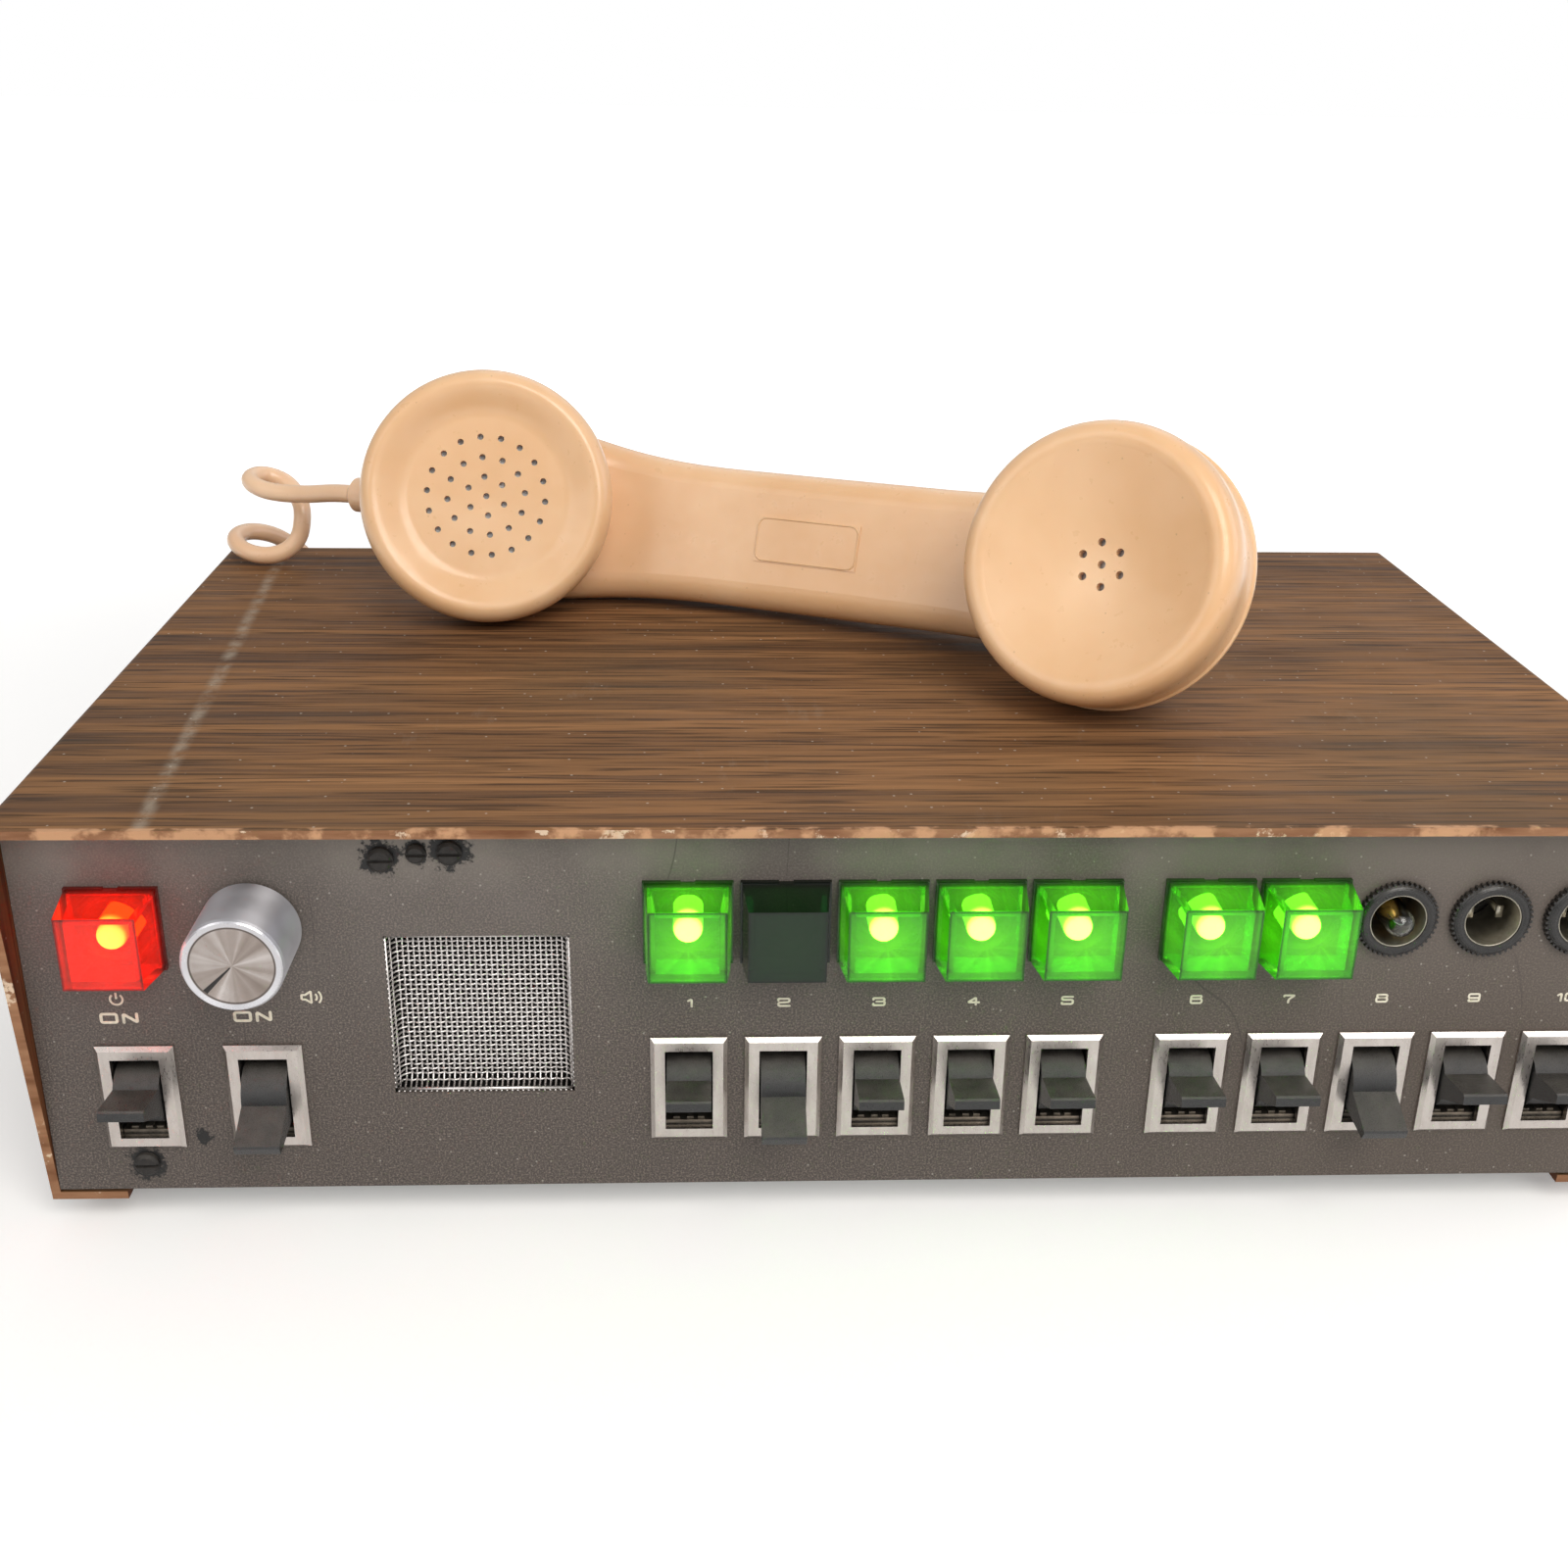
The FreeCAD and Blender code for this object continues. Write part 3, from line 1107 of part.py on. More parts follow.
def cord_stations(place):
    """The cord's line from the handset's bush to the cabinet's, with its direction at each point."""
    straight = 2 * CORD_R
    way_out = place.Rotation.multVec(-X)
    start = place.multVec(bush_tip())
    end = Vector(REAR_BUSH_X, REAR_REACH, REAR_BUSH_Z)
    curls = curl_stations(curl_points())
    lead = [start + way_out * straight] + [Vector(*p) for p in OPEN_CURLS] + [curls[0][0]]
    tail = [curls[-1][0]] + [Vector(*p) for p in CORD_TAIL] + [end + Y * straight]
    stations = [(lead[0], way_out)] + smooth_stations(lead) + curls + smooth_stations(tail)
    stations.append((tail[-1], -Y))
    return start, stations, end


def smooth_stations(points):
    """Each point between the first and the last, with a direction taken from its neighbours."""
    return [(here, (after - before).normalize())
            for before, here, after in zip(points, points[1:], points[2:])]


def handset_cord(place):
    start, stations, end = cord_stations(place)
    edges = [Part.LineSegment(start, stations[0][0]).toShape()]
    for (a, way_a), (b, way_b) in zip(stations, stations[1:]):
        edges += biarc(a, way_a, b, way_b)
    edges.append(Part.LineSegment(stations[-1][0], end).toShape())
    path = Part.Wire(edges)
    section = Part.Wire([Part.makeCircle(CORD_R, start, stations[0][1])])
    solid = path.makePipeShell([section], True, False)
    length = sum(e.Length for e in edges)
    tightest = min(e.Curve.Radius for e in edges[1:-1])
    full = math.pi * CORD_R ** 2 * length
    print("cord", round(length, 1), "curls", round(curl_points()[-1][1], 2),
          "tightest", round(tightest, 2), "gap", round(least_gap(edges), 2),
          "volume ratio", round(solid.Volume / full, 4))
    return solid


def least_gap(edges):
    """The least gap between one stretch of the cord and another, measured on points."""
    spacing = 1.2
    points = [p for e in edges for p in e.discretize(max(2, int(e.Length / spacing) + 1))[:-1]]
    apart = int(5 * CORD_R / spacing)
    cell = 6 * CORD_R
    cells = {}
    least = cell
    for i, p in enumerate(points):
        key = (int(p.x // cell), int(p.y // cell), int(p.z // cell))
        for dx in (-1, 0, 1):
            for dy in (-1, 0, 1):
                for dz in (-1, 0, 1):
                    for j in cells.get((key[0] + dx, key[1] + dy, key[2] + dz), ()):
                        if i - j > apart:
                            least = min(least, (points[j] - p).Length)
        cells.setdefault(key, []).append(i)
    return least - 2 * CORD_R


# Whole object
def build():
    nodes = {
        "cabinet_sleeve": cabinet_sleeve(),
        "chassis_tray": chassis_tray(),
        "front_panel": front_panel(),
        "rear_panel": rear_panel(),
        "rubber_feet": rubber_feet(),
        "bottom_screws": bottom_screws(),
        "panel_screws": panel_screws(),
        "rear_panel_screws": rear_panel_screws(),
        "speaker_grille": speaker_grille(),
        "speaker_basket": speaker_basket(),
        "speaker_cone": speaker_cone(),
        "speaker_magnet": speaker_magnet(),
        "volume_pot_body": pot_body(),
        "volume_pot_nut": pot_nut(),
        "volume_pot_shaft": pot_shaft(),
        "volume_knob": volume_knob(),
        "knob_grub_screw": knob_grub_screw(),
        "switch_bezels": group([switch_bezel(p) for p in SWITCHES.values()]),
        "switch_bodies": group([switch_body(p) for p in SWITCHES.values()]),
        "switch_terminals": group([t for p in SWITCHES.values() for t in switch_terminals(p)]),
        "rear_cord_bush": rear_cord_bush(),
        "mains_grommet": mains_grommet(),
        "fuse_holder": fuse_holder(),
        "terminal_strip": terminal_strip(),
        "terminal_screws": terminal_screws(),
        "circuit_board": circuit_board(),
        "board_standoffs": board_standoffs(),
        "transformer_core": transformer_core(),
        "transformer_coil": transformer_coil(),
        "filter_capacitor": filter_capacitor(),
    }
    covered = [LAMPS["power"]] + [LAMPS[str(n)] for n in LIT_STATIONS]
    nodes["lamp_holders"] = group([lamp_holder(p) for p in covered])
    nodes["open_lamp_holders"] = group([lamp_holder(LAMPS[str(n)]) for n in OPEN_STATIONS])
    nodes["lamp_bulbs"] = group([lamp_bulb(p) for p in covered])
    nodes["power_lens"] = lens_cap(LAMPS["power"])
    for number in CAPPED_STATIONS:
        nodes[f"station_{number}_lens"] = lens_cap(LAMPS[str(number)])
    for name, place in SWITCHES.items():
        label = f"station_{name}" if name.isdigit() else name
        nodes[f"{label}_paddle"] = paddle(name, place)
    placed, place = handset()
    nodes.update(placed)
    nodes["handset_cord"] = handset_cord(place)
    return nodes


def main():
    os.makedirs("parts", exist_ok=True)
    for name, shape in build().items():
        shape = shape.copy()
        shape.translate(Vector(0, -MIDDLE_Y, 0))
        shape.exportStep(f"parts/{name}.step")
        if not shape.isValid():
            print("invalid:", name)


main()
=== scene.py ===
import math

import bpy
import numpy as np
from mathutils import Matrix, Vector


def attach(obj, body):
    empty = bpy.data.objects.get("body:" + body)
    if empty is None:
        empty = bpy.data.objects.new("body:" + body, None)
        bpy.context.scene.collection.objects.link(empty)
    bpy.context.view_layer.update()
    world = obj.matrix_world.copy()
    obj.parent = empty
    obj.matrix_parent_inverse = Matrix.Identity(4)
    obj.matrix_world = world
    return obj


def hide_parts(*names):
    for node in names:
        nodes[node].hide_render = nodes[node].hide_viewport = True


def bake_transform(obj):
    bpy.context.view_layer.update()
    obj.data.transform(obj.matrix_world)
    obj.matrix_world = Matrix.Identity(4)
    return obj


# Desk intercom. Sizes are millimetres from the middle of the object at desk level, with
# Y = 0 at the face of the front panel, and at() turns such a place into the frame's metres.
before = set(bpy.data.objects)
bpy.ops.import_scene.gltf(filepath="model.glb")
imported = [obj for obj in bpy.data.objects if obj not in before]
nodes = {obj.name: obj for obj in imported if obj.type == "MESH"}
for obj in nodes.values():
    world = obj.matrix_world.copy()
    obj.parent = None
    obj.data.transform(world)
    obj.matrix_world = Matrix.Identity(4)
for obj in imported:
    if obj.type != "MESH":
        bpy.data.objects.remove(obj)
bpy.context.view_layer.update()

MIDDLE_Y = 93.9
MM = 0.001
PANEL_Z = 8.95
LAMP_Z = PANEL_Z + 65.6
POWER_LAMP_Z = PANEL_Z + 64.7
KNOB_PLACE = (-127.0, PANEL_Z + 64.8)
SWITCH_Z = PANEL_Z + 25.05
LEFT_SWITCH_Z = PANEL_Z + 23.95
POWER_X = -154.5
SPEAKER_X = -127.6
STATION_3_X, STATION_6_X = 3.56, 72.18
STATION_PITCH = 20.32
STATION_X = [STATION_3_X + (n - 3) * STATION_PITCH if n <= 5 else STATION_6_X + (n - 6) * STATION_PITCH
             for n in range(1, 11)]
LIT = (1, 3, 4, 5, 6, 7)
BULB_DEEP, BULB_TIP = 10.0, -5.4
BULB_R = 3.1
BULB_STRENGTH = 70.0


def at(x, y, z):
    return Vector((x, y - MIDDLE_Y, z)) * MM


# Camera
CAMERA_PLACE = (-33.13, -327.65, 245.59)
CAMERA_DOWN, CAMERA_RIGHT, CAMERA_TILT = 23.12, 2.72, 0.99
CAMERA_LENS = 40.53


def make_camera():
    """The photograph's camera: its place, and how far it looks down, to the right and tilts."""
    down, turn, tilt = (math.radians(a) for a in (CAMERA_DOWN, CAMERA_RIGHT, CAMERA_TILT))
    ahead = Vector((math.sin(turn) * math.cos(down), math.cos(turn) * math.cos(down), -math.sin(down)))
    level = Vector((math.cos(turn), -math.sin(turn), 0))
    over = level.cross(ahead)
    right = level * math.cos(tilt) + over * math.sin(tilt)
    up = over * math.cos(tilt) - level * math.sin(tilt)
    camera = bpy.data.objects.new("camera", bpy.data.cameras.new("camera"))
    bpy.context.scene.collection.objects.link(camera)
    facing = Matrix((right, up, -ahead)).transposed().to_4x4()
    camera.matrix_world = Matrix.Translation(at(*CAMERA_PLACE)) @ facing
    camera.data.sensor_width = 36.0
    camera.data.lens = CAMERA_LENS
    camera.data.clip_start = 0.01
    bpy.context.scene.camera = camera


make_camera()


# Shapes
class Shape:
    """Points in millimetres, and faces, that end as one mesh."""

    def __init__(self):
        self.points = []
        self.faces = []

    def add(self, points, faces):
        base = len(self.points)
        self.points += [tuple(p) for p in points]
        self.faces += [tuple(base + i for i in face) for face in faces]

    def box(self, low, high):
        (a, b, c), (d, e, f) = low, high
        self.add([(a, b, c), (d, b, c), (d, e, c), (a, e, c), (a, b, f), (d, b, f), (d, e, f), (a, e, f)],
                 [(3, 2, 1, 0), (4, 5, 6, 7), (0, 1, 5, 4), (1, 2, 6, 5), (2, 3, 7, 6), (3, 0, 4, 7)])

    def turned(self, profile, place, count):
        """A surface of revolution about Y. The profile is (radius, height towards the viewer)."""
        turn = Vector((0, 0, 1)).rotation_difference(Vector((0, -1, 0)))
        rings = []
        for radius, height in profile:
            rings.append([turn @ Vector((radius * math.cos(a), radius * math.sin(a), height)) + Vector(place)
                          for a in (2 * math.pi * i / count for i in range(count))])
        faces = [(k * count + i, k * count + (i + 1) % count,
                  (k + 1) * count + (i + 1) % count, (k + 1) * count + i)
                 for k in range(len(rings) - 1) for i in range(count)]
        self.add([p for ring in rings for p in ring], faces)

    def tube(self, path, radius, sides=8, flat=None):
        """A round tube along a path, with closed ends. flat squeezes it along Y to that half height."""
        path = np.array(path, float)
        ways = np.gradient(path, axis=0)
        ways /= np.linalg.norm(ways, axis=1)[:, None]
        start = np.array([0.0, 1.0, 0.0]) if abs(ways[0][1]) < 0.9 else np.array([1.0, 0.0, 0.0])
        side = start - ways[0] * (start @ ways[0])
        rings = []
        for here, way in zip(path, ways):
            side = side - way * (side @ way)
            side /= np.linalg.norm(side)
            other = np.cross(way, side)
            rings.append([here + radius * (math.cos(a) * side + math.sin(a) * other)
                          for a in (2 * math.pi * i / sides for i in range(sides))])
        points = np.array(rings)
        if flat is not None:
            points[:, :, 1] = path[:, None, 1] + (points[:, :, 1] - path[:, None, 1]) * flat / radius
        faces = [(k * sides + i, k * sides + (i + 1) % sides,
                  (k + 1) * sides + (i + 1) % sides, (k + 1) * sides + i)
                 for k in range(len(path) - 1) for i in range(sides)]
        faces += [tuple(range(sides))[::-1], tuple((len(path) - 1) * sides + i for i in range(sides))]
        self.add(points.reshape(-1, 3), faces)

    def piece(self, name, paint, slot, body="cabinet", smooth=True, ride=True):
        mesh = bpy.data.meshes.new(name)
        mesh.from_pydata([at(*p) for p in self.points], [], self.faces)
        mesh.validate()
        mesh.update()
        mesh.polygons.foreach_set("use_smooth", [smooth] * len(mesh.polygons))
        mesh.materials.append(paint.material)
        piece = bpy.data.objects.new(name, mesh)
        bpy.context.scene.collection.objects.link(piece)
        if ride:
            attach(piece, body)
        return piece


# Cord. The route's points are the ones that its solid follows.
CORD_R = 2.5
CORD_SIDES = 16
BUSH_TIP = (-131.157, 158.354, 125.443)
BUSH_WAY = (-0.90094, 0.43359, -0.01745)
REAR_TIP = (95, 205, 33)
OPEN_CURLS = ((-146.1, 168, 122.8), (-155.9, 172.5, 122.2), (-162, 175.3, 123.2), (-165.3, 181, 124.4),
              (-162.3, 187.5, 124.3), (-155.6, 187.8, 121.8), (-151, 183, 117), (-150.5, 180, 112),
              (-151.8, 179.3, 106.9), (-155.9, 177.6, 103.2), (-162, 176.5, 102.3), (-168.8, 179.4, 103.4),
              (-172.7, 186, 105.3), (-170.6, 193.8, 105.4), (-164.6, 198.6, 103.4), (-159.2, 202, 98.8),
              (-156.4, 205.2, 94.5), (-155, 207.2, 89.4), (-155.4, 205.8, 84.2))
CURL_LINE = ((-163.6, 208, 81), (-163.5, 208.5, 66), (-162, 209, 48), (-158, 210, 28),
             (-140, 213, 10.6), (-100, 215, 10.4), (-50, 217, 10.4), (0, 215, 10.4), (47, 214, 10.4))
CURL_PITCH = ((0, 12), (18, 9.4), (52, 8.6), (67, 9.6), (117, 8.8), (400, 8.6))
CURL_R = 7.7
CURL_START = 315.0
CURL_STEPS = 12
CORD_TAIL = ((51, 227, 2.9), (65, 238, 3.3), (82, 242, 8), (93, 236, 20), (95, 222, 32), (95, 210, 33))


def spline_points(name, points, resolution):
    """The points of a smooth curve that has these as its control points, in millimetres."""
    curve = bpy.data.curves.new(name, "CURVE")
    curve.dimensions = "3D"
    curve.resolution_u = resolution
    spline = curve.splines.new("NURBS")
    spline.points.add(len(points) - 1)
    for target, p in zip(spline.points, points):
        target.co = (*p, 1.0)
    spline.order_u = 3
    spline.use_endpoint_u = True
    holder = bpy.data.objects.new(name, curve)
    mesh = bpy.data.meshes.new_from_object(holder)
    found = [v.co.copy() for v in mesh.vertices]
    bpy.data.objects.remove(holder)
    bpy.data.curves.remove(curve)
    bpy.data.meshes.remove(mesh)
    return found


def between(table, distance):
    """The table's value at a distance, straight between its rows."""
    for (a, va), (b, vb) in zip(table, table[1:]):
        if distance <= b:
            return va + (vb - va) * (distance - a) / (b - a)
    return table[-1][1]


def curl_controls():
    """Control points wound round the curls' own line, twelve to a curl."""
    line = spline_points("curl_line", CURL_LINE, 160)
    step = 1.0 / CURL_STEPS
    radius = CURL_R / (0.75 + 0.25 * math.cos(2 * math.pi * step))
    turns = CURL_START / 360
    due = turns
    run = 0.0
    side = Vector((0, -1, 0))
    found = []
    for before, here in zip(line, line[1:]):
        way = (here - before).normalized()
        run += (here - before).length
        turns += (here - before).length / between(CURL_PITCH, run)
        side = (side - way * side.dot(way)).normalized()
        if turns >= due:
            angle = 2 * math.pi * turns
            found.append(here + (side * math.cos(angle) + way.cross(side) * math.sin(angle)) * radius)
            due += step
    return found


def make_cord(paint):
    """The curly cord, from the bush on the handset to the one in the rear panel."""
    tip, way = Vector(BUSH_TIP), Vector(BUSH_WAY)
    controls = [tip - way * 1.5, tip + way * 5] + [Vector(p) for p in OPEN_CURLS] + curl_controls()
    controls += [Vector(p) for p in CORD_TAIL] + [Vector(REAR_TIP) - Vector((0, 1.5, 0))]
    path = spline_points("cord_line", controls, 5)
    shape = Shape()
    shape.tube([tuple(p) for p in path], CORD_R, CORD_SIDES)
    cord = shape.piece("curly_cord", paint, "cord_rubber", ride=False)
    length = sum((b - a).length for a, b in zip(path, path[1:])) * MM
    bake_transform(cord)
    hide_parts("handset_cord")
    print("cord", round(length, 4))


# Paints
def rgb(red, green, blue):
    """A colour in linear light, from its values on a screen."""
    def linear(c):
        return c / 255 / 12.92 if c <= 10 else ((c / 255 + 0.055) / 1.055) ** 2.4
    return linear(red), linear(green), linear(blue), 1.0


class Paint:
    """A material with the nodes that make it. Patterns are in metres of the frame."""

    def __init__(self, name, **sockets):
        self.material = bpy.data.materials.new(name)
        self.material.use_nodes = True
        self.nodes = self.material.node_tree.nodes
        self.links = self.material.node_tree.links
        self.shader = self.nodes["Principled BSDF"]
        self.place = self.node("ShaderNodeTexCoord").outputs["Object"]
        for name, value in sockets.items():
            self.set(name.replace("_", " ").title().replace("Ior", "IOR"), value)

    def set(self, socket, value):
        target = self.shader.inputs[socket]
        if isinstance(value, bpy.types.NodeSocket):
            self.links.new(value, target)
        else:
            target.default_value = value

    def node(self, kind, inputs=(), **settings):
        made = self.nodes.new(kind)
        for name, value in settings.items():
            setattr(made, name, value)
        for key, value in dict(inputs).items():
            if isinstance(value, bpy.types.NodeSocket):
                self.links.new(value, made.inputs[key])
            else:
                made.inputs[key].default_value = value
        return made

    def math(self, operation, a, b=0.0):
        return self.node("ShaderNodeMath", {0: a, 1: b}, operation=operation).outputs[0]

    def vector(self, operation, a, b=(0, 0, 0)):
        return self.node("ShaderNodeVectorMath", {0: a, 1: b}, operation=operation).outputs[0]

    def length(self, vector):
        return self.node("ShaderNodeVectorMath", {0: vector}, operation="LENGTH").outputs["Value"]

    def axes(self, vector=None):
        found = self.node("ShaderNodeSeparateXYZ", {0: vector or self.place})
        return found.outputs[0], found.outputs[1], found.outputs[2]

    def normal(self):
        return self.axes(self.node("ShaderNodeTexCoord").outputs["Normal"])

    def noise(self, scale, stretch=(1, 1, 1), detail=3.0, rough=0.55, warp=0.0, shift=(0, 0, 0)):
        place = self.vector("MULTIPLY", self.vector("ADD", self.place, shift), stretch)
        return self.node("ShaderNodeTexNoise", {"Vector": place, "Scale": scale, "Detail": detail,
                                                "Roughness": rough, "Distortion": warp}).outputs["Fac"]

    def range(self, value, low, high, out_low=0.0, out_high=1.0):
        return self.node("ShaderNodeMapRange", {"Value": value, "From Min": low, "From Max": high,
                                                "To Min": out_low, "To Max": out_high},
                         interpolation_type="SMOOTHSTEP").outputs[0]

    def ramp(self, value, *stops):
        made = self.node("ShaderNodeValToRGB", {0: value})
        while len(made.color_ramp.elements) < len(stops):
            made.color_ramp.elements.new(0.5)
        for element, (position, colour) in zip(made.color_ramp.elements, stops):
            element.position = position
            element.color = colour
        return made.outputs[0]

    def mix(self, factor, a, b):
        made = self.node("ShaderNodeMix", data_type="RGBA")
        for key, value in ((0, factor), (6, a), (7, b)):
            if isinstance(value, bpy.types.NodeSocket):
                self.links.new(value, made.inputs[key])
            else:
                made.inputs[key].default_value = value
        return made.outputs[2]

    def bump(self, height, strength, distance):
        inputs = {"Height": height, "Strength": strength, "Distance": distance}
        return self.node("ShaderNodeBump", inputs).outputs[0]


def plain_finish(name, dark, light, scale, rough, metallic=0.0, stretch=(1, 1, 1), relief=0.1, depth=0.0002,
                 dust=0.0):
    """A colour that drifts between two tones, with fine relief, uneven gloss and a little dust."""
    p = Paint(name, metallic=metallic)
    tone = p.noise(scale, stretch, 4.0)
    fine = p.noise(scale * 6, stretch, 3.0)
    colour = p.ramp(p.math("ADD", p.math("MULTIPLY", tone, 0.7), p.math("MULTIPLY", fine, 0.3)),
                    (0.3, rgb(*dark)), (0.7, rgb(*light)))
    if dust:
        up = p.range(p.normal()[2], 0.3, 1.0)
        film = p.math("MULTIPLY", p.math("MULTIPLY", up, p.noise(260, detail=6.0)), dust)
        colour = p.mix(film, colour, rgb(176, 168, 156))
    p.set("Base Color", colour)
    p.set("Roughness", p.range(fine, 0.25, 0.75, *rough))
    p.set("Normal", p.bump(fine, relief, depth))
    return p


def wood_paint():
    """Printed walnut vinyl: bands and dark streaks run across the top and down the sides."""
    p = Paint("walnut_vinyl", specular_ior_level=0.12)
    bands = p.noise(26, (0.05, 1.0, 0.05), 4.0, 0.6, 0.4)
    streaks = p.noise(300, (0.022, 1.0, 0.022), 5.0, 0.65, 0.5)
    pores = p.noise(900, (0.035, 1.0, 0.035), 2.0, 0.5)
    drift = p.noise(7, (1, 1, 1), 3.0)
    value = p.math("ADD", p.math("MULTIPLY", bands, 0.42), p.math("MULTIPLY", streaks, 0.58))
    colour = p.ramp(value, (0.33, rgb(58, 40, 27)), (0.44, rgb(98, 69, 46)), (0.55, rgb(136, 98, 64)),
                    (0.68, rgb(166, 122, 82)))
    colour = p.mix(p.range(pores, 0.50, 0.66, 0.0, 0.72), colour, rgb(44, 31, 22))
    colour = p.mix(p.range(drift, 0.4, 0.65, 0.0, 0.4), colour, rgb(100, 82, 60))
    x, y = p.axes()[:2]
    nx, ny = p.normal()[:2]
    scuff = p.noise(95, (1, 0.35, 1), 7.0, 0.75)
    patches = p.range(p.noise(9, shift=(0.3, 0.1, 0)), 0.45, 0.65)
    grime = p.math("MULTIPLY", p.range(scuff, 0.56, 0.75), patches)
    left = p.range(x, -0.12, -0.17, 0.15, 0.75)
    colour = p.mix(p.math("MULTIPLY", grime, left), colour, rgb(176, 166, 152))
    slant = p.math("MULTIPLY", p.math("ADD", y, 0.084), 0.075)
    rub = p.math("ABSOLUTE", p.math("ADD", slant, p.math("ADD", x, 0.146)))
    broken = p.range(p.noise(150, detail=7.0, rough=0.7), 0.34, 0.66)
    rub = p.math("MULTIPLY", p.range(rub, 0.0026, 0.0), broken)
    colour = p.mix(p.math("MULTIPLY", rub, 0.5), colour, rgb(176, 164, 146))
    specks = p.node("ShaderNodeTexVoronoi", {"Vector": p.place, "Scale": 230.0}).outputs["Distance"]
    colour = p.mix(p.math("MULTIPLY", p.range(specks, 0.085, 0.05), 0.5), colour, rgb(196, 188, 174))
    # Painted shade: faces that turn sideways are darker and redder.
    colour = p.mix(p.range(p.math("ABSOLUTE", nx), 0.6, 0.85, 0.0, 0.62), colour, rgb(74, 26, 12))
    edge = p.range(ny, -0.55, -0.8)
    chips = p.range(p.noise(120, (1, 1, 1), 5.0, 0.7), 0.6, 0.66)
    bare = p.ramp(p.noise(200, (0.2, 1, 1), 4.0), (0.3, rgb(110, 70, 46)), (0.7, rgb(172, 130, 98)))
    front = p.mix(chips, bare, rgb(214, 190, 164))
    colour = p.mix(edge, colour, front)
    worn = p.range(p.noise(150, (1, 1, 1), 4.0), 0.46, 0.6)
    corner = p.math("MULTIPLY", p.range(y, -0.1008, -0.1018), worn)
    colour = p.mix(p.math("MULTIPLY", corner, 0.8), colour, rgb(206, 160, 122))
    p.set("Base Color", colour)
    p.set("Roughness", p.range(p.math("ADD", streaks, p.math("MULTIPLY", scuff, 0.5)), 0.5, 1.0, 0.5, 0.7))
    p.set("Normal", p.bump(p.math("ADD", streaks, p.math("MULTIPLY", pores, 0.6)), 0.22, 0.0003))
    return p


# Touched-up paint round the panel's screws: across, up the panel, and its radius
DARK_SPOTS = ((-99.6, 80.2, 4.6), (-92.3, 81.5, 3.1), (-85.6, 81.6, 4.5), (-155.3, 6.8, 4.4),
              (-142.4, 13.4, 2.0))


def panel_paint():
    """Matte textured brown-grey paint, with a painted sheen towards the top and dust along the top edge, and
    dark touched-up rings round the screws.
    """
    p = Paint("panel_paint")
    x, z = p.axes()[::2]
    grain = p.noise(2300, detail=3.0, rough=0.7)
    blotch = p.noise(30, (1, 1, 1), 5.0, 0.6)
    colour = p.ramp(grain, (0.34, rgb(50, 44, 41)), (0.5, rgb(78, 70, 65)), (0.66, rgb(122, 111, 103)))
    # Painted sheen: the paint grows lighter and greyer towards the top, in patches.
    height = p.range(z, 0.03, 0.098, 0.0, 0.5)
    top_sheen = p.math("MULTIPLY", p.range(blotch, 0.3, 0.7, 0.5, 1.0), height)
    colour = p.mix(top_sheen, colour, rgb(122, 116, 112))
    # Dust and painted sheen in a band along the top edge.
    top_dust_and_sheen = p.math("MULTIPLY", p.range(z, 0.078, 0.099, 0.0, 0.75), p.range(blotch, 0.3, 0.6, 0.4, 1.0))
    colour = p.mix(top_dust_and_sheen, colour, rgb(146, 138, 128))
    warm = p.range(x, -0.02, 0.16, 0.0, 0.45)
    colour = p.mix(warm, colour, rgb(84, 73, 62))
    specks = p.node("ShaderNodeTexVoronoi", {"Vector": p.place, "Scale": 330.0}).outputs["Distance"]
    colour = p.mix(p.math("MULTIPLY", p.range(specks, 0.1, 0.05), 0.55), colour, rgb(172, 166, 158))
    ragged = p.math("MULTIPLY", p.math("SUBTRACT", p.noise(420, detail=6.0, rough=0.75), 0.5), 0.0105)
    dark = None
    for sx, row, head in DARK_SPOTS:
        away = p.vector("SUBTRACT", p.place, at(sx, 0, PANEL_Z + row))
        away = p.length(p.vector("MULTIPLY", away, (1, 0, 1)))
        near = p.range(p.math("ADD", away, ragged), head * MM, head * MM * 0.72)
        dark = near if dark is None else p.math("MAXIMUM", dark, near)
    colour = p.mix(dark, colour, rgb(9, 8, 8))
    along = p.vector("MULTIPLY", p.place, (1, 1, 0.35))
    scratches = p.node("ShaderNodeTexWave", {"Vector": along, "Scale": 9.0, "Distortion": 26.0, "Detail": 3.0,
                                             "Detail Scale": 0.6}, wave_profile="TRI").outputs["Fac"]
    where = p.range(p.noise(22, shift=(0.1, 0, 0.2)), 0.52, 0.6)
    worn = p.math("MULTIPLY", p.range(scratches, 0.012, 0.002), where)
    colour = p.mix(p.math("MULTIPLY", worn, 0.5), colour, rgb(48, 44, 42))
    p.set("Base Color", colour)
    p.set("Roughness", p.range(grain, 0.3, 0.7, 0.5, 0.66))
    p.set("Normal", p.bump(grain, 0.35, 0.00012))
    return p


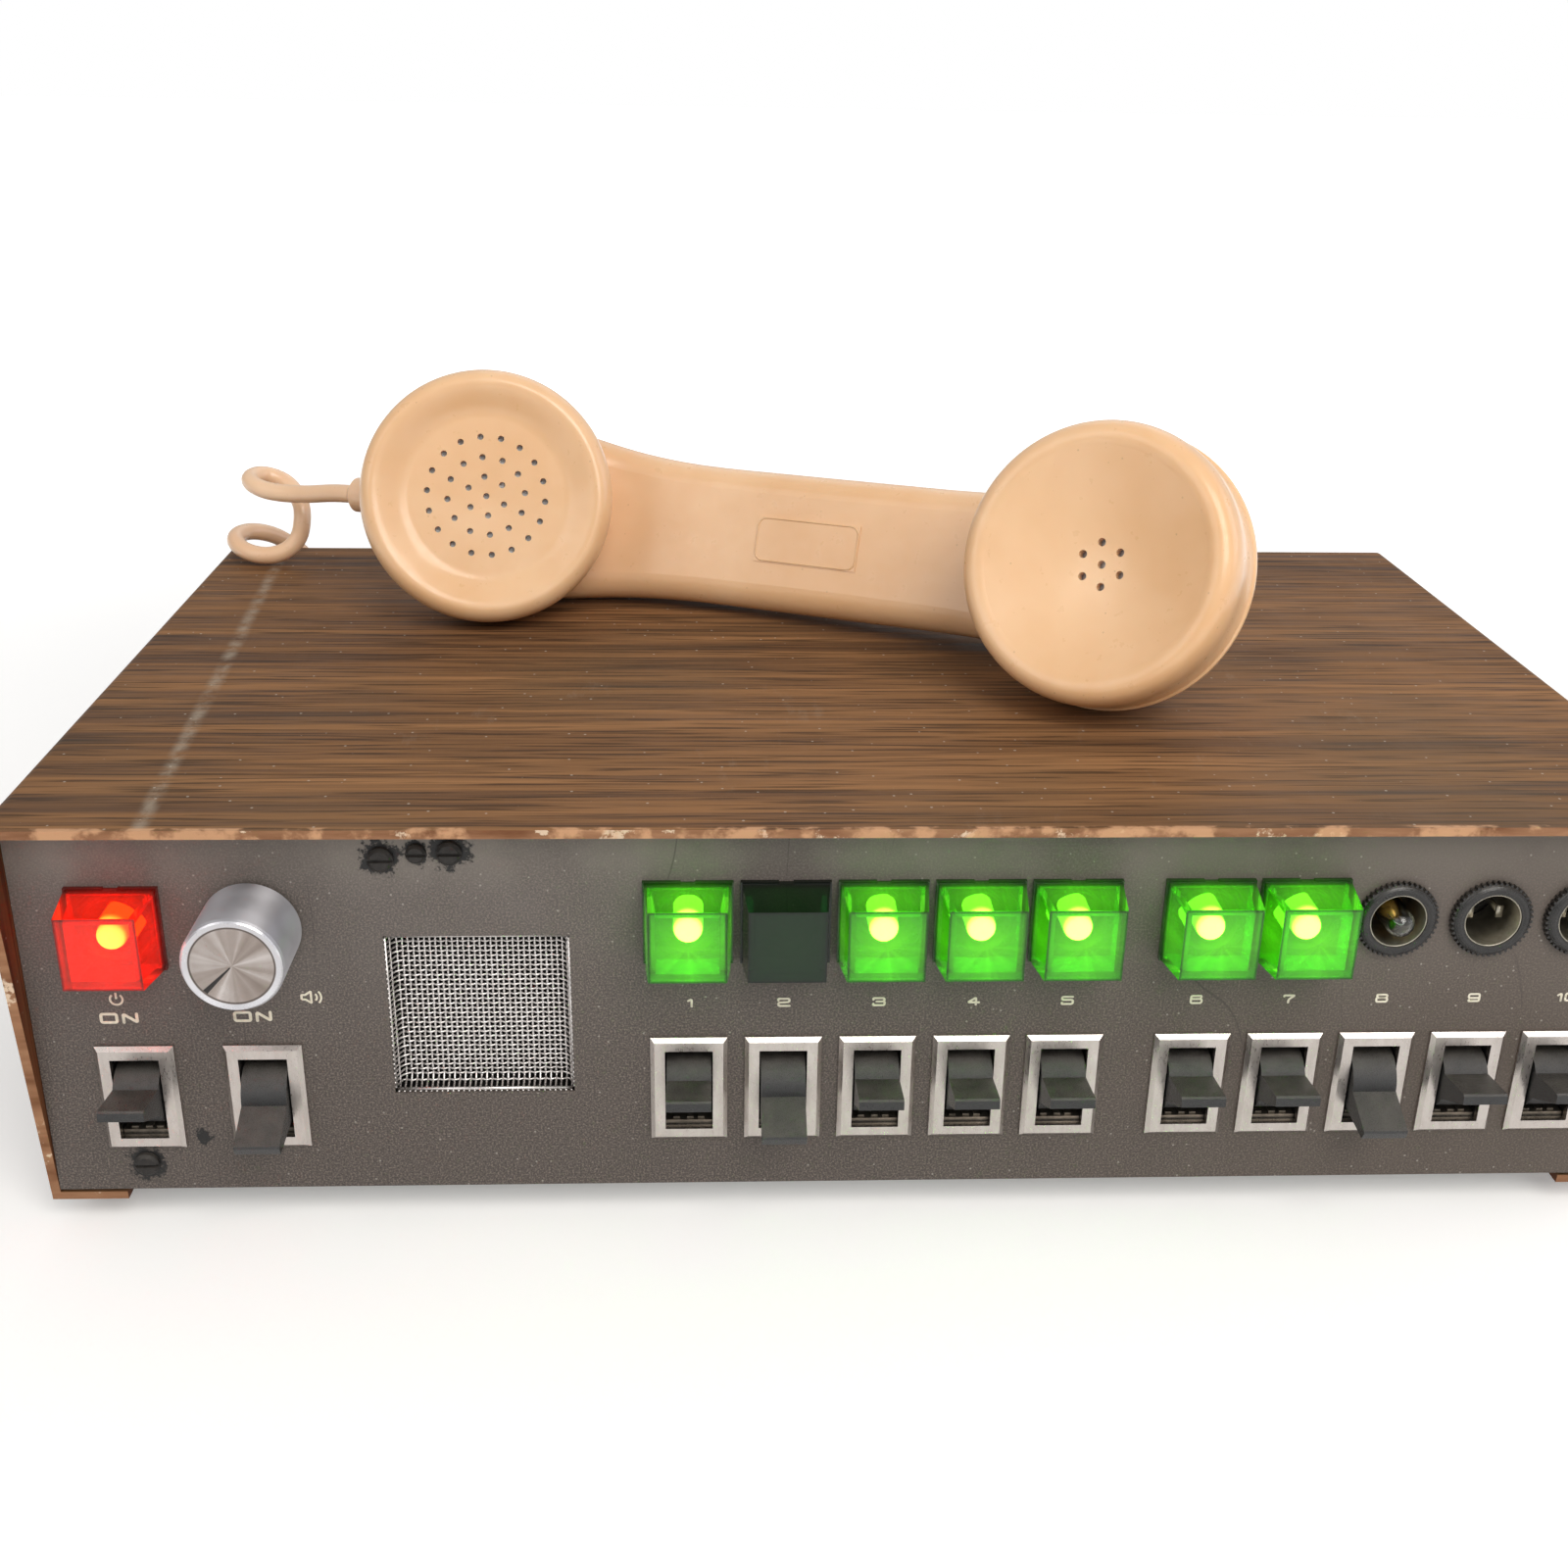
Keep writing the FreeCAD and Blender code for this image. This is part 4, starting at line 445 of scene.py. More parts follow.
def plastic_paint(name, light, deep, speck=0.25):
    """Smooth moulded plastic that has yellowed unevenly and holds a little grime."""
    p = Paint(name, subsurface_weight=0.12, coat_weight=0.3, coat_roughness=0.12)
    p.shader.inputs["Subsurface Radius"].default_value = (0.004, 0.002, 0.001)
    p.shader.inputs["Subsurface Scale"].default_value = 0.6
    drift = p.noise(18, (1, 1, 1), 4.0, 0.6, 0.3)
    fine = p.noise(420, (1, 1, 1), 3.0)
    colour = p.ramp(drift, (0.32, rgb(*deep)), (0.62, rgb(*light)))
    marks = p.noise(130, (1, 1, 1), 7.0, 0.75)
    colour = p.mix(p.range(marks, 0.66, 0.76, 0.0, speck), colour, rgb(150, 104, 66))
    specks = p.node("ShaderNodeTexVoronoi", {"Vector": p.place, "Scale": 190.0}).outputs["Distance"]
    colour = p.mix(p.math("MULTIPLY", p.range(specks, 0.06, 0.03), speck), colour, rgb(118, 84, 58))
    p.set("Base Color", colour)
    p.set("Roughness", p.range(p.math("ADD", fine, p.math("MULTIPLY", marks, 0.6)), 0.5, 1.1, 0.26, 0.44))
    p.set("Normal", p.bump(fine, 0.05, 0.0001))
    return p


def lens_paint(name, place, body, glow_tones, strength):
    """Clear coloured plastic with a painted glow for the bulb's light behind it, brightest near the bulb, and
    painted shade at its rim.
    """
    p = Paint(name, transmission_weight=0.8, ior=1.49, roughness=0.03, specular_ior_level=0.2)
    x, z = place
    away = p.vector("SUBTRACT", p.place, at(x, -5.0, z))
    flat = p.vector("MULTIPLY", away, (1, 0, 1))
    # Painted light: rays and rings in the glow, as the lens's optics would throw them.
    painted_rays = p.node("ShaderNodeTexNoise", {"Vector": p.vector("NORMALIZE", flat), "Scale": 5.0, "Detail": 3.0,
                                         "Roughness": 0.7}).outputs["Fac"]
    rings = p.node("ShaderNodeTexNoise", {"W": p.math("MULTIPLY", p.length(flat), 1400.0), "Detail": 1.0},
                   noise_dimensions="1D").outputs["Fac"]
    far = p.math("MULTIPLY", p.length(away), 74.0)
    ny = p.normal()[1]
    across, y, up = p.axes(away)
    edge = p.math("MAXIMUM", p.math("ABSOLUTE", across), p.math("ABSOLUTE", up))
    # Painted shade: the lens's edge and wall are darker, and the painted glow is weaker there.
    rim_shade = p.math("MULTIPLY", p.range(edge, 0.0073, 0.0079), p.range(ny, -0.75, -0.95))
    rim_shade = p.math("MAXIMUM", rim_shade, p.math("MULTIPLY", p.range(edge, 0.0086, 0.0092), p.range(y, 0.0, 0.0035)))
    p.set("Base Color", p.mix(rim_shade, rgb(*body), rgb(*[c * 0.45 for c in body])))
    p.set("Emission Color", p.ramp(far, *[(stop, rgb(*tone)) for stop, tone in glow_tones]))
    # Painted glow: emission that stands in for the bulb's light scattered in the lens.
    painted_glow = p.math("MULTIPLY", p.range(painted_rays, 0.3, 0.7, 0.72, 1.25), p.range(rings, 0.3, 0.7, 0.85, 1.1))
    painted_glow = p.math("MULTIPLY", painted_glow, p.range(rim_shade, 0.0, 1.0, strength, strength * 0.25))
    p.set("Emission Strength", painted_glow)
    p.set("Normal", p.bump(p.noise(900, detail=3.0), 0.03, 0.0001))
    return p


def bulb_paint(name, places, colour, strength):
    """Lit glass, hottest at the middle of its tip."""
    p = Paint(name, roughness=0.2)
    hot = None
    for x, z in places:
        near = p.range(p.length(p.vector("SUBTRACT", p.place, at(x, BULB_TIP + 0.4, z))), 0.0046, 0.0014)
        hot = near if hot is None else p.math("MAXIMUM", hot, near)
    p.set("Base Color", rgb(240, 240, 236))
    p.set("Emission Color", p.mix(hot, rgb(*colour), rgb(255, 250, 236)))
    p.set("Emission Strength", p.math("MULTIPLY", p.math("ADD", 0.06, p.math("POWER", hot, 1.3)), strength))
    return p


def knob_paint():
    """Spun aluminium: fine rings round the knob's axis, painted highlights as light and dark rays, a painted
    highlight on the bevel, painted shade in its groove, and a duller side darkened by painted shade.
    """
    p = Paint("spun_aluminium", metallic=1.0, anisotropic=0.9, anisotropic_rotation=0.25)
    x, z = KNOB_PLACE
    flat = p.vector("MULTIPLY", p.vector("SUBTRACT", p.place, at(x, 0, z)), (1, 0, 1))
    away = p.length(flat)
    rings = p.node("ShaderNodeTexNoise", {"W": p.math("MULTIPLY", away, 9000.0), "Detail": 4.0,
                                          "Roughness": 0.7}, noise_dimensions="1D").outputs["Fac"]
    smear = p.noise(120, (1, 1, 1), 5.0)
    # Painted highlights: light and dark rays round the axis stand in for the streaks that the spun face
    # reflects.
    painted_rays = p.node("ShaderNodeTexNoise", {"Vector": p.vector("NORMALIZE", flat), "Scale": 1.9,
                                         "Detail": 2.0}).outputs["Fac"]
    tone = p.math("ADD", p.math("MULTIPLY", rings, 0.3), p.math("MULTIPLY", smear, 0.2))
    tone = p.math("ADD", tone, p.math("MULTIPLY", painted_rays, 0.5))
    colour = p.ramp(tone, (0.36, rgb(126, 114, 107)), (0.5, rgb(158, 148, 142)), (0.64, rgb(206, 200, 198)))
    # Painted highlight: the bevel ring is brighter than the face.
    bevel_highlight = p.range(away, 0.0085, 0.0088)
    colour = p.mix(bevel_highlight, colour, rgb(204, 203, 207))
    # Painted shade: a dark ring in the groove between the face and the bevel.
    groove_shade = p.math("MULTIPLY", p.range(away, 0.0081, 0.0084), p.range(away, 0.0087, 0.0085))
    # Painted shade: faces that turn away from the front are darker and bluer grey, as well as rougher.
    side = p.range(p.normal()[1], -0.75, -0.4, 0.0, 0.28)
    colour = p.mix(p.math("MULTIPLY", side, 1.6), colour, rgb(128, 126, 130))
    p.set("Base Color", p.mix(groove_shade, colour, rgb(96, 88, 84)))
    p.set("Roughness", p.math("ADD", p.range(smear, 0.3, 0.7, 0.2, 0.32), side))
    p.set("Tangent", p.node("ShaderNodeTangent", direction_type="RADIAL", axis="Y").outputs[0])
    p.set("Normal", p.bump(rings, 0.12, 0.00005))
    return p


def glass_paint(name, tint, rough):
    """Clear glass with a patchy film of dust."""
    p = Paint(name, transmission_weight=1.0, ior=1.46)
    film = p.noise(160, (1, 1, 1), 5.0)
    p.set("Base Color", p.mix(p.range(film, 0.4, 0.7, 0.0, 0.5), rgb(*tint), rgb(198, 204, 204)))
    p.set("Roughness", p.range(film, 0.4, 0.7, rough, rough + 0.12))
    return p


# Strengths of the lenses' painted glow, lit and unlit.
LIT_LEVEL, UNLIT_LEVEL = 0.42, 0.012
CLEAR_GLASS = (236, 240, 240)
GLASS_ROUGH = 0.02
GREEN_BODY, DARK_GREEN_BODY, RED_BODY = (98, 208, 40), (10, 66, 24), (246, 70, 24)
# Colours of the lenses' painted glow, from the bulb outwards.
GREEN_GLOW_TONES = ((0.0, (214, 255, 128)), (0.36, (150, 240, 58)), (0.55, (96, 196, 28)), (0.9, (30, 96, 12)))
RED_GLOW_TONES = ((0.0, (255, 170, 60)), (0.36, (250, 60, 16)), (0.55, (232, 22, 8)), (0.9, (150, 8, 6)))

wood = wood_paint()
panel = panel_paint()
handset_shell = plastic_paint("handset_plastic", (234, 193, 150), (222, 175, 127))
cap_shell = plastic_paint("cap_plastic", (236, 196, 153), (225, 178, 129))
cord_rubber = plastic_paint("cord_rubber", (240, 204, 168), (226, 184, 146), 0.12)
black_texture = plain_finish("black_textured_plastic", (9, 9, 10), (30, 30, 31), 1100, (0.24, 0.36),
                             relief=0.8, dust=0.25)
black_texture.set("Specular IOR Level", 0.6)
black_plastic = plain_finish("black_plastic", (14, 13, 13), (34, 32, 31), 300, (0.22, 0.4),
                             relief=0.12, dust=0.2)
nickel = plain_finish("satin_nickel", (180, 172, 166), (202, 195, 190), 420, (0.26, 0.34), 1.0,
                      (1, 1, 0.3), 0.04)
wire = plain_finish("bright_wire", (176, 170, 166), (226, 222, 220), 500, (0.2, 0.38), 1.0, relief=0.05)
steel = plain_finish("chassis_steel", (126, 124, 120), (168, 166, 160), 60, (0.34, 0.55), 1.0,
                     (0.1, 1, 1), dust=0.3)
zinc = plain_finish("zinc_plate", (138, 134, 122), (178, 172, 158), 400, (0.3, 0.5), 1.0, relief=0.1)
black_screw = plain_finish("blackened_screw", (18, 16, 15), (52, 48, 45), 900, (0.4, 0.75), 0.3,
                           relief=0.6, dust=0.2)
rubber = plain_finish("black_rubber", (20, 20, 20), (38, 37, 36), 500, (0.6, 0.85), relief=0.3, dust=0.3)
speaker_steel = plain_finish("speaker_steel", (38, 38, 40), (62, 62, 64), 120, (0.4, 0.6), 0.6, relief=0.1)
speaker_paper = plain_finish("speaker_paper", (16, 15, 15), (34, 32, 30), 700, (0.8, 0.95), relief=0.5)
magnet = plain_finish("magnet", (44, 42, 42), (74, 70, 68), 260, (0.5, 0.75), 0.4, relief=0.3)
pot_metal = plain_finish("pot_metal", (146, 136, 112), (186, 176, 150), 260, (0.25, 0.45), 1.0, relief=0.08)
brass = plain_finish("brass", (150, 112, 52), (204, 166, 88), 420, (0.25, 0.45), 1.0, relief=0.08)
capsule_metal = plain_finish("capsule_metal", (118, 118, 118), (160, 160, 158), 240, (0.3, 0.5), 1.0,
                             relief=0.08)
brown_plastic = plain_finish("brown_phenolic", (34, 20, 13), (58, 36, 24), 180, (0.35, 0.55),
                             relief=0.15, dust=0.3)
core_iron = plain_finish("core_laminations", (52, 52, 54), (86, 84, 82), 90, (0.5, 0.7), 0.7,
                         (0.4, 22, 0.4), 0.4, dust=0.3)
coil_tape = plain_finish("coil_tape", (168, 132, 62), (206, 172, 98), 60, (0.35, 0.6), 0.0,
                         (1, 1, 9), 0.3, dust=0.3)
can = plain_finish("capacitor_can", (140, 142, 146), (186, 188, 190), 90, (0.25, 0.42), 1.0,
                   (1, 1, 0.1), 0.06, dust=0.3)
board = plain_finish("circuit_board", (104, 74, 34), (138, 104, 54), 130, (0.35, 0.6), relief=0.2, dust=0.3)
cream_ink = plain_finish("cream_ink", (212, 204, 182), (238, 232, 214), 900, (0.45, 0.65), relief=0.2)
pointer_ink = plain_finish("pointer_ink", (10, 9, 9), (34, 28, 26), 900, (0.4, 0.6), relief=0.2)

PAINTS = {
    wood: ["cabinet_sleeve"], panel: ["front_panel"], handset_shell: ["handset_handle"],
    cap_shell: ["transmitter_cap", "receiver_cap"], cord_rubber: ["handset_cord_bush", "handset_cord"],
    steel: ["chassis_tray", "rear_panel"], zinc: ["bottom_screws", "rear_panel_screws"],
    black_screw: ["panel_screws", "knob_grub_screw"],
    rubber: ["rubber_feet", "mains_grommet", "rear_cord_bush"],
    wire: ["speaker_grille"], speaker_steel: ["speaker_basket"], speaker_paper: ["speaker_cone"],
    magnet: ["speaker_magnet"], pot_metal: ["volume_pot_body", "volume_pot_nut", "volume_pot_shaft"],
    knob_paint(): ["volume_knob"], nickel: ["switch_bezels"],
    black_plastic: ["switch_bodies", "lamp_holders", "open_lamp_holders", "fuse_holder"],
    brass: ["switch_terminals", "terminal_screws", "board_standoffs"],
    capsule_metal: ["transmitter_capsule", "receiver_capsule"], brown_plastic: ["terminal_strip"],
    core_iron: ["transformer_core"], coil_tape: ["transformer_coil"], can: ["filter_capacitor"],
    board: ["circuit_board"], glass_paint("bulb_glass_solid", CLEAR_GLASS, GLASS_ROUGH): ["lamp_bulbs"],
    black_texture: ["power_paddle", "speaker_paddle"] + [f"station_{n}_paddle" for n in range(1, 11)],
    lens_paint("power_lens_plastic", (POWER_X, POWER_LAMP_Z), RED_BODY, RED_GLOW_TONES, LIT_LEVEL): ["power_lens"],
}
for n in range(1, 8):
    body, level = (GREEN_BODY, LIT_LEVEL) if n in LIT else (DARK_GREEN_BODY, UNLIT_LEVEL)
    lens = lens_paint(f"station_{n}_lens_plastic", (STATION_X[n - 1], LAMP_Z), body, GREEN_GLOW_TONES, level)
    PAINTS[lens] = [f"station_{n}_lens"]
for paint, names in PAINTS.items():
    for name in names:
        data = nodes[name].data
        data.materials.clear()
        data.materials.append(paint.material)

make_cord(cord_rubber)


# Woven wire over the speaker
GRILLE_PLACE = (-81.15, PANEL_Z + 43.2)
GRILLE_SIZE = (38.6, 38.2)
GRILLE_DEEP = 4.0
GRILLE_SLOPE = 2.2
WIRE_PITCH = 1.16
WIRE_R = 0.24
WIRE_SIDES = 6
HEM = 0.9


def grille_depth(u, v):
    """How far the mesh is dished behind the panel's face, from its middle outwards."""
    inset = min(GRILLE_SIZE[0] / 2 - abs(u), GRILLE_SIZE[1] / 2 - abs(v))
    share = min(1.0, max(0.0, inset / GRILLE_SLOPE))
    return 0.4 + GRILLE_DEEP * math.sin(share * math.pi / 2) ** 0.8


def make_grille():
    """Wires that go over and under each other, inside a thin hem."""
    shape = Shape()
    gx, gz = GRILLE_PLACE
    width, height = GRILLE_SIZE
    across, up = int(width / WIRE_PITCH), int(height / WIRE_PITCH)
    for vertical in (True, False):
        count, reach, extent = (across, height, up) if vertical else (up, width, across)
        for i in range(count):
            fixed = (i - (count - 1) / 2) * WIRE_PITCH
            path = []
            for k in range(4 * extent + 1):
                run = -reach / 2 + reach * k / (4 * extent)
                wave = 0.9 * WIRE_R * math.cos(math.pi * (run / WIRE_PITCH + i) + (0 if vertical else math.pi))
                u, v = (fixed, run) if vertical else (run, fixed)
                path.append((gx + u, grille_depth(u, v) + wave, gz + v))
            shape.tube(path, WIRE_R, WIRE_SIDES)
    for low, high in (((-width / 2, -height / 2), (width / 2, -height / 2 + HEM)),
                      ((-width / 2, height / 2 - HEM * 0.6), (width / 2, height / 2)),
                      ((-width / 2, -height / 2), (-width / 2 + HEM * 0.5, height / 2)),
                      ((width / 2 - HEM * 0.5, -height / 2), (width / 2, height / 2))):
        shape.box((gx + low[0], 0.5, gz + low[1]), (gx + high[0], 0.9, gz + high[1]))
    piece = shape.piece("woven_grille", wire, "grille_wire")
    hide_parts("speaker_grille")


make_grille()


# Lettering: plain numbers, ON at the two left switches, and two symbols
STROKE = 0.25
ON_STROKE, ON_SIZE, ON_GAP = 0.3, 1.12, 1.25
SYMBOL_STROKE, WAVE_STROKE = 0.24, 0.22
INK_SIDES = 8
INK_Y = -0.01
INK_LIFT = 0.06
LABEL_Z = 54.9
ON_PLACES = ((-156.8, 52.1), (-129.0, 52.3))
POWER_SYMBOL, SPEAKER_SYMBOL = (-156.8, 56.7), (-116.6, 56.9)
TALL = 1.75
GLYPHS = {
    "1": [[(0.55, 1.35), (1.3, 1.75), (1.3, 0)]],
    "2": [[(0, 1.3), (0, 1.75), (2.35, 1.75), (2.35, 0.95), (0, 0.8), (0, 0), (2.4, 0)]],
    "3": [[(0, 1.4), (0, 1.75), (2.35, 1.75), (2.35, 0.92), (0.7, 0.92)],
          [(2.2, 0.92), (2.4, 0.8), (2.4, 0), (0, 0), (0, 0.35)]],
    "4": [[(1.75, 0), (1.75, 1.75), (0, 0.55), (2.4, 0.55)]],
    "5": [[(2.3, 1.75), (0, 1.75), (0, 1.0), (2.35, 1.0), (2.35, 0), (0, 0), (0, 0.3)]],
    "6": [[(2.2, 1.45), (2.2, 1.75), (0, 1.75), (0, 0), (2.35, 0), (2.35, 1.0), (0, 1.0)]],
    "7": [[(0, 1.5), (0, 1.75), (2.35, 1.75), (1.0, 0.7), (1.0, 0)]],
    "8": [[(0.1, 1.75), (2.25, 1.75), (2.25, 0.95), (0.1, 0.95), (0.1, 1.75)],
          [(0, 0.95), (2.35, 0.95), (2.35, 0), (0, 0), (0, 0.95)]],
    "9": [[(0.1, 0.3), (0.1, 0), (2.35, 0), (2.35, 1.75), (0, 1.75), (0, 0.78), (2.35, 0.78)]],
    "0": [[(0, 0.8), (0, 1.75), (2.35, 1.75), (2.35, 0), (0, 0), (0, 0.8)]],
    "O": [[(0, 0.9), (0, 1.8), (2.9, 1.8), (2.9, 0), (0, 0), (0, 0.9)]],
    "N": [[(0, 0), (0, 1.8), (2.5, 0), (2.5, 1.8)]],
}


def softened(points, radius=0.42, steps=5):
    """A stroke with its corners rounded."""
    found = [points[0]]
    for before, here, after in zip(points, points[1:], points[2:]):
        before, here, after = Vector(before), Vector(here), Vector(after)
        cut = min(radius, (before - here).length * 0.5, (after - here).length * 0.5)
        start, end = here + (before - here).normalized() * cut, here + (after - here).normalized() * cut
        for i in range(steps + 1):
            t = i / steps
            found.append(tuple(start * (1 - t) ** 2 + here * 2 * t * (1 - t) + end * t ** 2))
    return found + [points[-1]]


def write(shape, text, x, z, size=1.0, gap=0.95, stroke=STROKE):
    """Letters of raised ink on the panel, centred on x and, for TALL ones, on z."""
    widths = [max(p[0] for line in GLYPHS[c] for p in line) for c in text]
    left = x - size * (sum(widths) + gap * (len(text) - 1)) / 2
    for letter, width in zip(text, widths):
        for line in GLYPHS[letter]:
            path = [(left + u * size, INK_Y, z + (v - TALL / 2) * size) for u, v in softened(line)]
            shape.tube(path, stroke * size, INK_SIDES, flat=INK_LIFT)
            cap = [(stroke * size, 0), (stroke * size * 0.7, INK_LIFT * 0.7), (0.001, INK_LIFT)]
            for end in (path[0], path[-1]):
                shape.turned(cap, end, count=12)
        left += (width + gap) * size


def make_lettering():
    shape = Shape()
    for n, x in enumerate(STATION_X, 1):
        write(shape, str(n), x, LABEL_Z)
    for x, z in ON_PLACES:
        write(shape, "ON", x, z, ON_SIZE, ON_GAP, ON_STROKE)
    shape.piece("panel_numbers", cream_ink, "panel_paint")


def make_symbols():
    """A ring with a stroke over the power switch, and a loudspeaker over the speaker's."""
    shape = Shape()

    def line(middle, points, stroke=SYMBOL_STROKE):
        path = [(middle[0] + u, INK_Y, middle[1] + v) for u, v in points]
        shape.tube(path, stroke, INK_SIDES, flat=INK_LIFT)

    turns = np.linspace(0.7, 2 * math.pi - 0.7, 22)
    line(POWER_SYMBOL, [(1.3 * math.sin(a), 1.3 * math.cos(a)) for a in turns])
    line(POWER_SYMBOL, [(0, 0.1), (0, 0.8), (0, 1.6)])
    horn = [(-1.8, -0.55), (-1.0, -0.55), (0.2, -1.4), (0.2, 1.4), (-1.0, 0.55), (-1.8, 0.55), (-1.8, -0.55)]
    line(SPEAKER_SYMBOL, softened(horn, 0.15, 3))
    for r in (1.1, 2.0):
        wave = [(0.3 + r * math.cos(a), r * math.sin(a)) for a in np.linspace(-0.75, 0.75, 10)]
        line(SPEAKER_SYMBOL, wave, WAVE_STROKE)
    shape.piece("panel_symbols", cream_ink, "panel_paint")


make_lettering()
make_symbols()


# Lamps
def bulb_profile(radius):
    """The glass of a bulb: a tube with a round end. Heights are towards the viewer."""
    dome = [(radius * math.cos(a), -BULB_TIP - radius + radius * math.sin(a))
            for a in np.linspace(0, math.pi / 2, 9)]
    return [(radius, -BULB_DEEP)] + dome[:-1] + [(0.01, -BULB_TIP)]


def make_lamps():
    """Bulbs, bases and filaments. Place 0 is the power lamp, and the others have their station's number."""
    places = [(POWER_X, POWER_LAMP_Z)] + [(STATION_X[n - 1], LAMP_Z) for n in range(1, 9)]
    unlit = (2, 8)
    lit_white, dark_glass, bases, wires = Shape(), Shape(), Shape(), Shape()
    red = Shape()
    for k, (x, z) in enumerate(places):
        target = red if k == 0 else (dark_glass if k in unlit else lit_white)
        target.turned(bulb_profile(BULB_R), (x, 0, z), count=32)
        bases.turned([(3.6, -12.0), (3.6, -6.0), (3.2, -5.2), (3.2, -3.6)], (x, 0, z), count=32)
    for k in unlit:
        x, z = places[k]
        inside = [(r * 0.86 + 0.005, h - 0.35) for r, h in reversed(bulb_profile(BULB_R))]
        dark_glass.turned(inside, (x, 0, z), count=32)
        for side in (-1, 1):
            wires.tube([(x + side * 1.3, 6, z), (x + side * 1.1, 0, z), (x + side * 0.9, -2.4, z)], 0.14, 6)
        coil = [(x - 0.9 + 1.8 * t, -2.4 - 0.7 * math.sin(math.pi * t) + 0.18 * math.sin(26 * math.pi * t),
                 z + 0.18 * math.cos(26 * math.pi * t)) for t in np.linspace(0, 1, 120)]
        wires.tube(coil, 0.05, 5)
        bases.turned([(2.6, -5.0), (1.2, -1.2), (0.01, -0.6)], (x, 0, z), count=24)
    green_paint = bulb_paint("lit_bulb", [places[k] for k in LIT], (220, 255, 190), BULB_STRENGTH)
    green_bulbs = lit_white.piece("lit_bulbs", green_paint, "bulb_glass")
    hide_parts("lamp_bulbs")
    red_paint = bulb_paint("power_bulb", places[:1], (255, 190, 90), BULB_STRENGTH)
    red.piece("power_bulb", red_paint, "bulb_glass")
    dark_glass.piece("unlit_bulbs", glass_paint("bulb_glass", CLEAR_GLASS, GLASS_ROUGH), "bulb_glass")
    bases.piece("bulb_bases", brass, "brass")
    wires.piece("bulb_wires", wire, "grille_wire")


def make_socket_rings():
    """The milled edge and bright inner sleeve of the three sockets that have no lens."""
    milled, sleeves = Shape(), Shape()
    root, tip, teeth = 8.15, 8.75, 44
    for n in (8, 9, 10):
        x, z = STATION_X[n - 1], LAMP_Z
        for i in range(teeth):
            a0, a1 = (2 * math.pi * (i + d) / teeth for d in (0.1, 0.72))
            corners = ((root, a0), (tip, (a0 * 3 + a1) / 4), (tip, (a0 + a1 * 3) / 4), (root, a1))
            ring = [(x + r * math.sin(a), y, z + r * math.cos(a)) for y in (-0.05, -1.5) for r, a in corners]
            milled.add(ring, [(4, 5, 6, 7), (0, 4, 7, 3), (0, 1, 5, 4), (1, 2, 6, 5), (2, 3, 7, 6)])
        lip = [(8.28, 1.42), (8.0, 1.75), (7.5, 2.06), (7.0, 2.12), (6.6, 2.02), (6.3, 1.6)]
        milled.turned(lip, (x, 0, z), count=64)
        sleeves.turned([(6.12, 1.75), (5.95, 1.85), (5.8, 1.7), (5.8, -11.6)], (x, 0, z), count=48)
        if n != 8:
            for side in (-1, 1):
                sleeves.box((x + side * 3.2 - 0.7, 2.5, z - 1.4), (x + side * 3.2 + 0.7, 3.1, z + 1.4))
                sleeves.box((x + side * 3.2 - 0.4, 3.1, z - 0.6), (x + side * 3.2 + 0.4, 11.8, z + 0.6))
    milled.piece("socket_rings", black_plastic, "black_plastic", smooth=False)
    sleeves.piece("socket_sleeves", zinc, "zinc_screw")


def make_switch_ledges():
    """The stepped ledge under each paddle, inside its bezel."""
    shape = Shape()
    places = [(POWER_X, LEFT_SWITCH_Z), (SPEAKER_X, LEFT_SWITCH_Z)] + [(x, SWITCH_Z) for x in STATION_X]
    for x, z in places:
        shape.box((x - 5.1, 0.6, z - 9.75), (x + 5.1, 4.5, z - 8.9))
        for dx in (-2.8, 0.2, 2.6):
            shape.box((x + dx - 0.7, 1.2, z - 8.9), (x + dx + 0.7, 3.0, z - 8.45))
    paint = plain_finish("ledge_metal", (96, 90, 82), (150, 142, 130), 500, (0.3, 0.5), 0.8)
    shape.piece("switch_ledges", paint, "satin_nickel", smooth=False)


make_lamps()
make_socket_rings()
make_switch_ledges()


# The knob's pointer line, turned to where the photograph has it
POINTER_DEG = 225
KNOB_FACE_Y = -16.87


def make_pointer():
    shape = Shape()
    x, z = KNOB_PLACE
    angle = math.radians(POINTER_DEG)
    out, side = Vector((math.cos(angle), math.sin(angle))), Vector((-math.sin(angle), math.cos(angle)))
    corners = [out * 0.6 - side * 0.12, out * 8.2 - side * 0.55,
               out * 8.2 + side * 0.55, out * 0.6 + side * 0.12]
    shape.add([(x + c[0], y, z + c[1]) for y in (KNOB_FACE_Y, KNOB_FACE_Y - INK_LIFT) for c in corners],
              [(4, 5, 6, 7), (0, 4, 7, 3), (0, 1, 5, 4), (1, 2, 6, 5), (2, 3, 7, 6)])
    shape.piece("knob_pointer", pointer_ink, "black_plastic", "volume_knob", smooth=False)


make_pointer()


# The raised border on the inside of the grip
PLATE_MIDDLE = Vector((-7.05, 122.034, 121.929))
PLATE_ALONG = Vector((0.9009, -0.4336, 0.0175))
PLATE_UP = Vector((0.1407, 0.33, 0.9334))
PLATE_OUT = Vector((-0.4105, -0.8385, 0.3583))


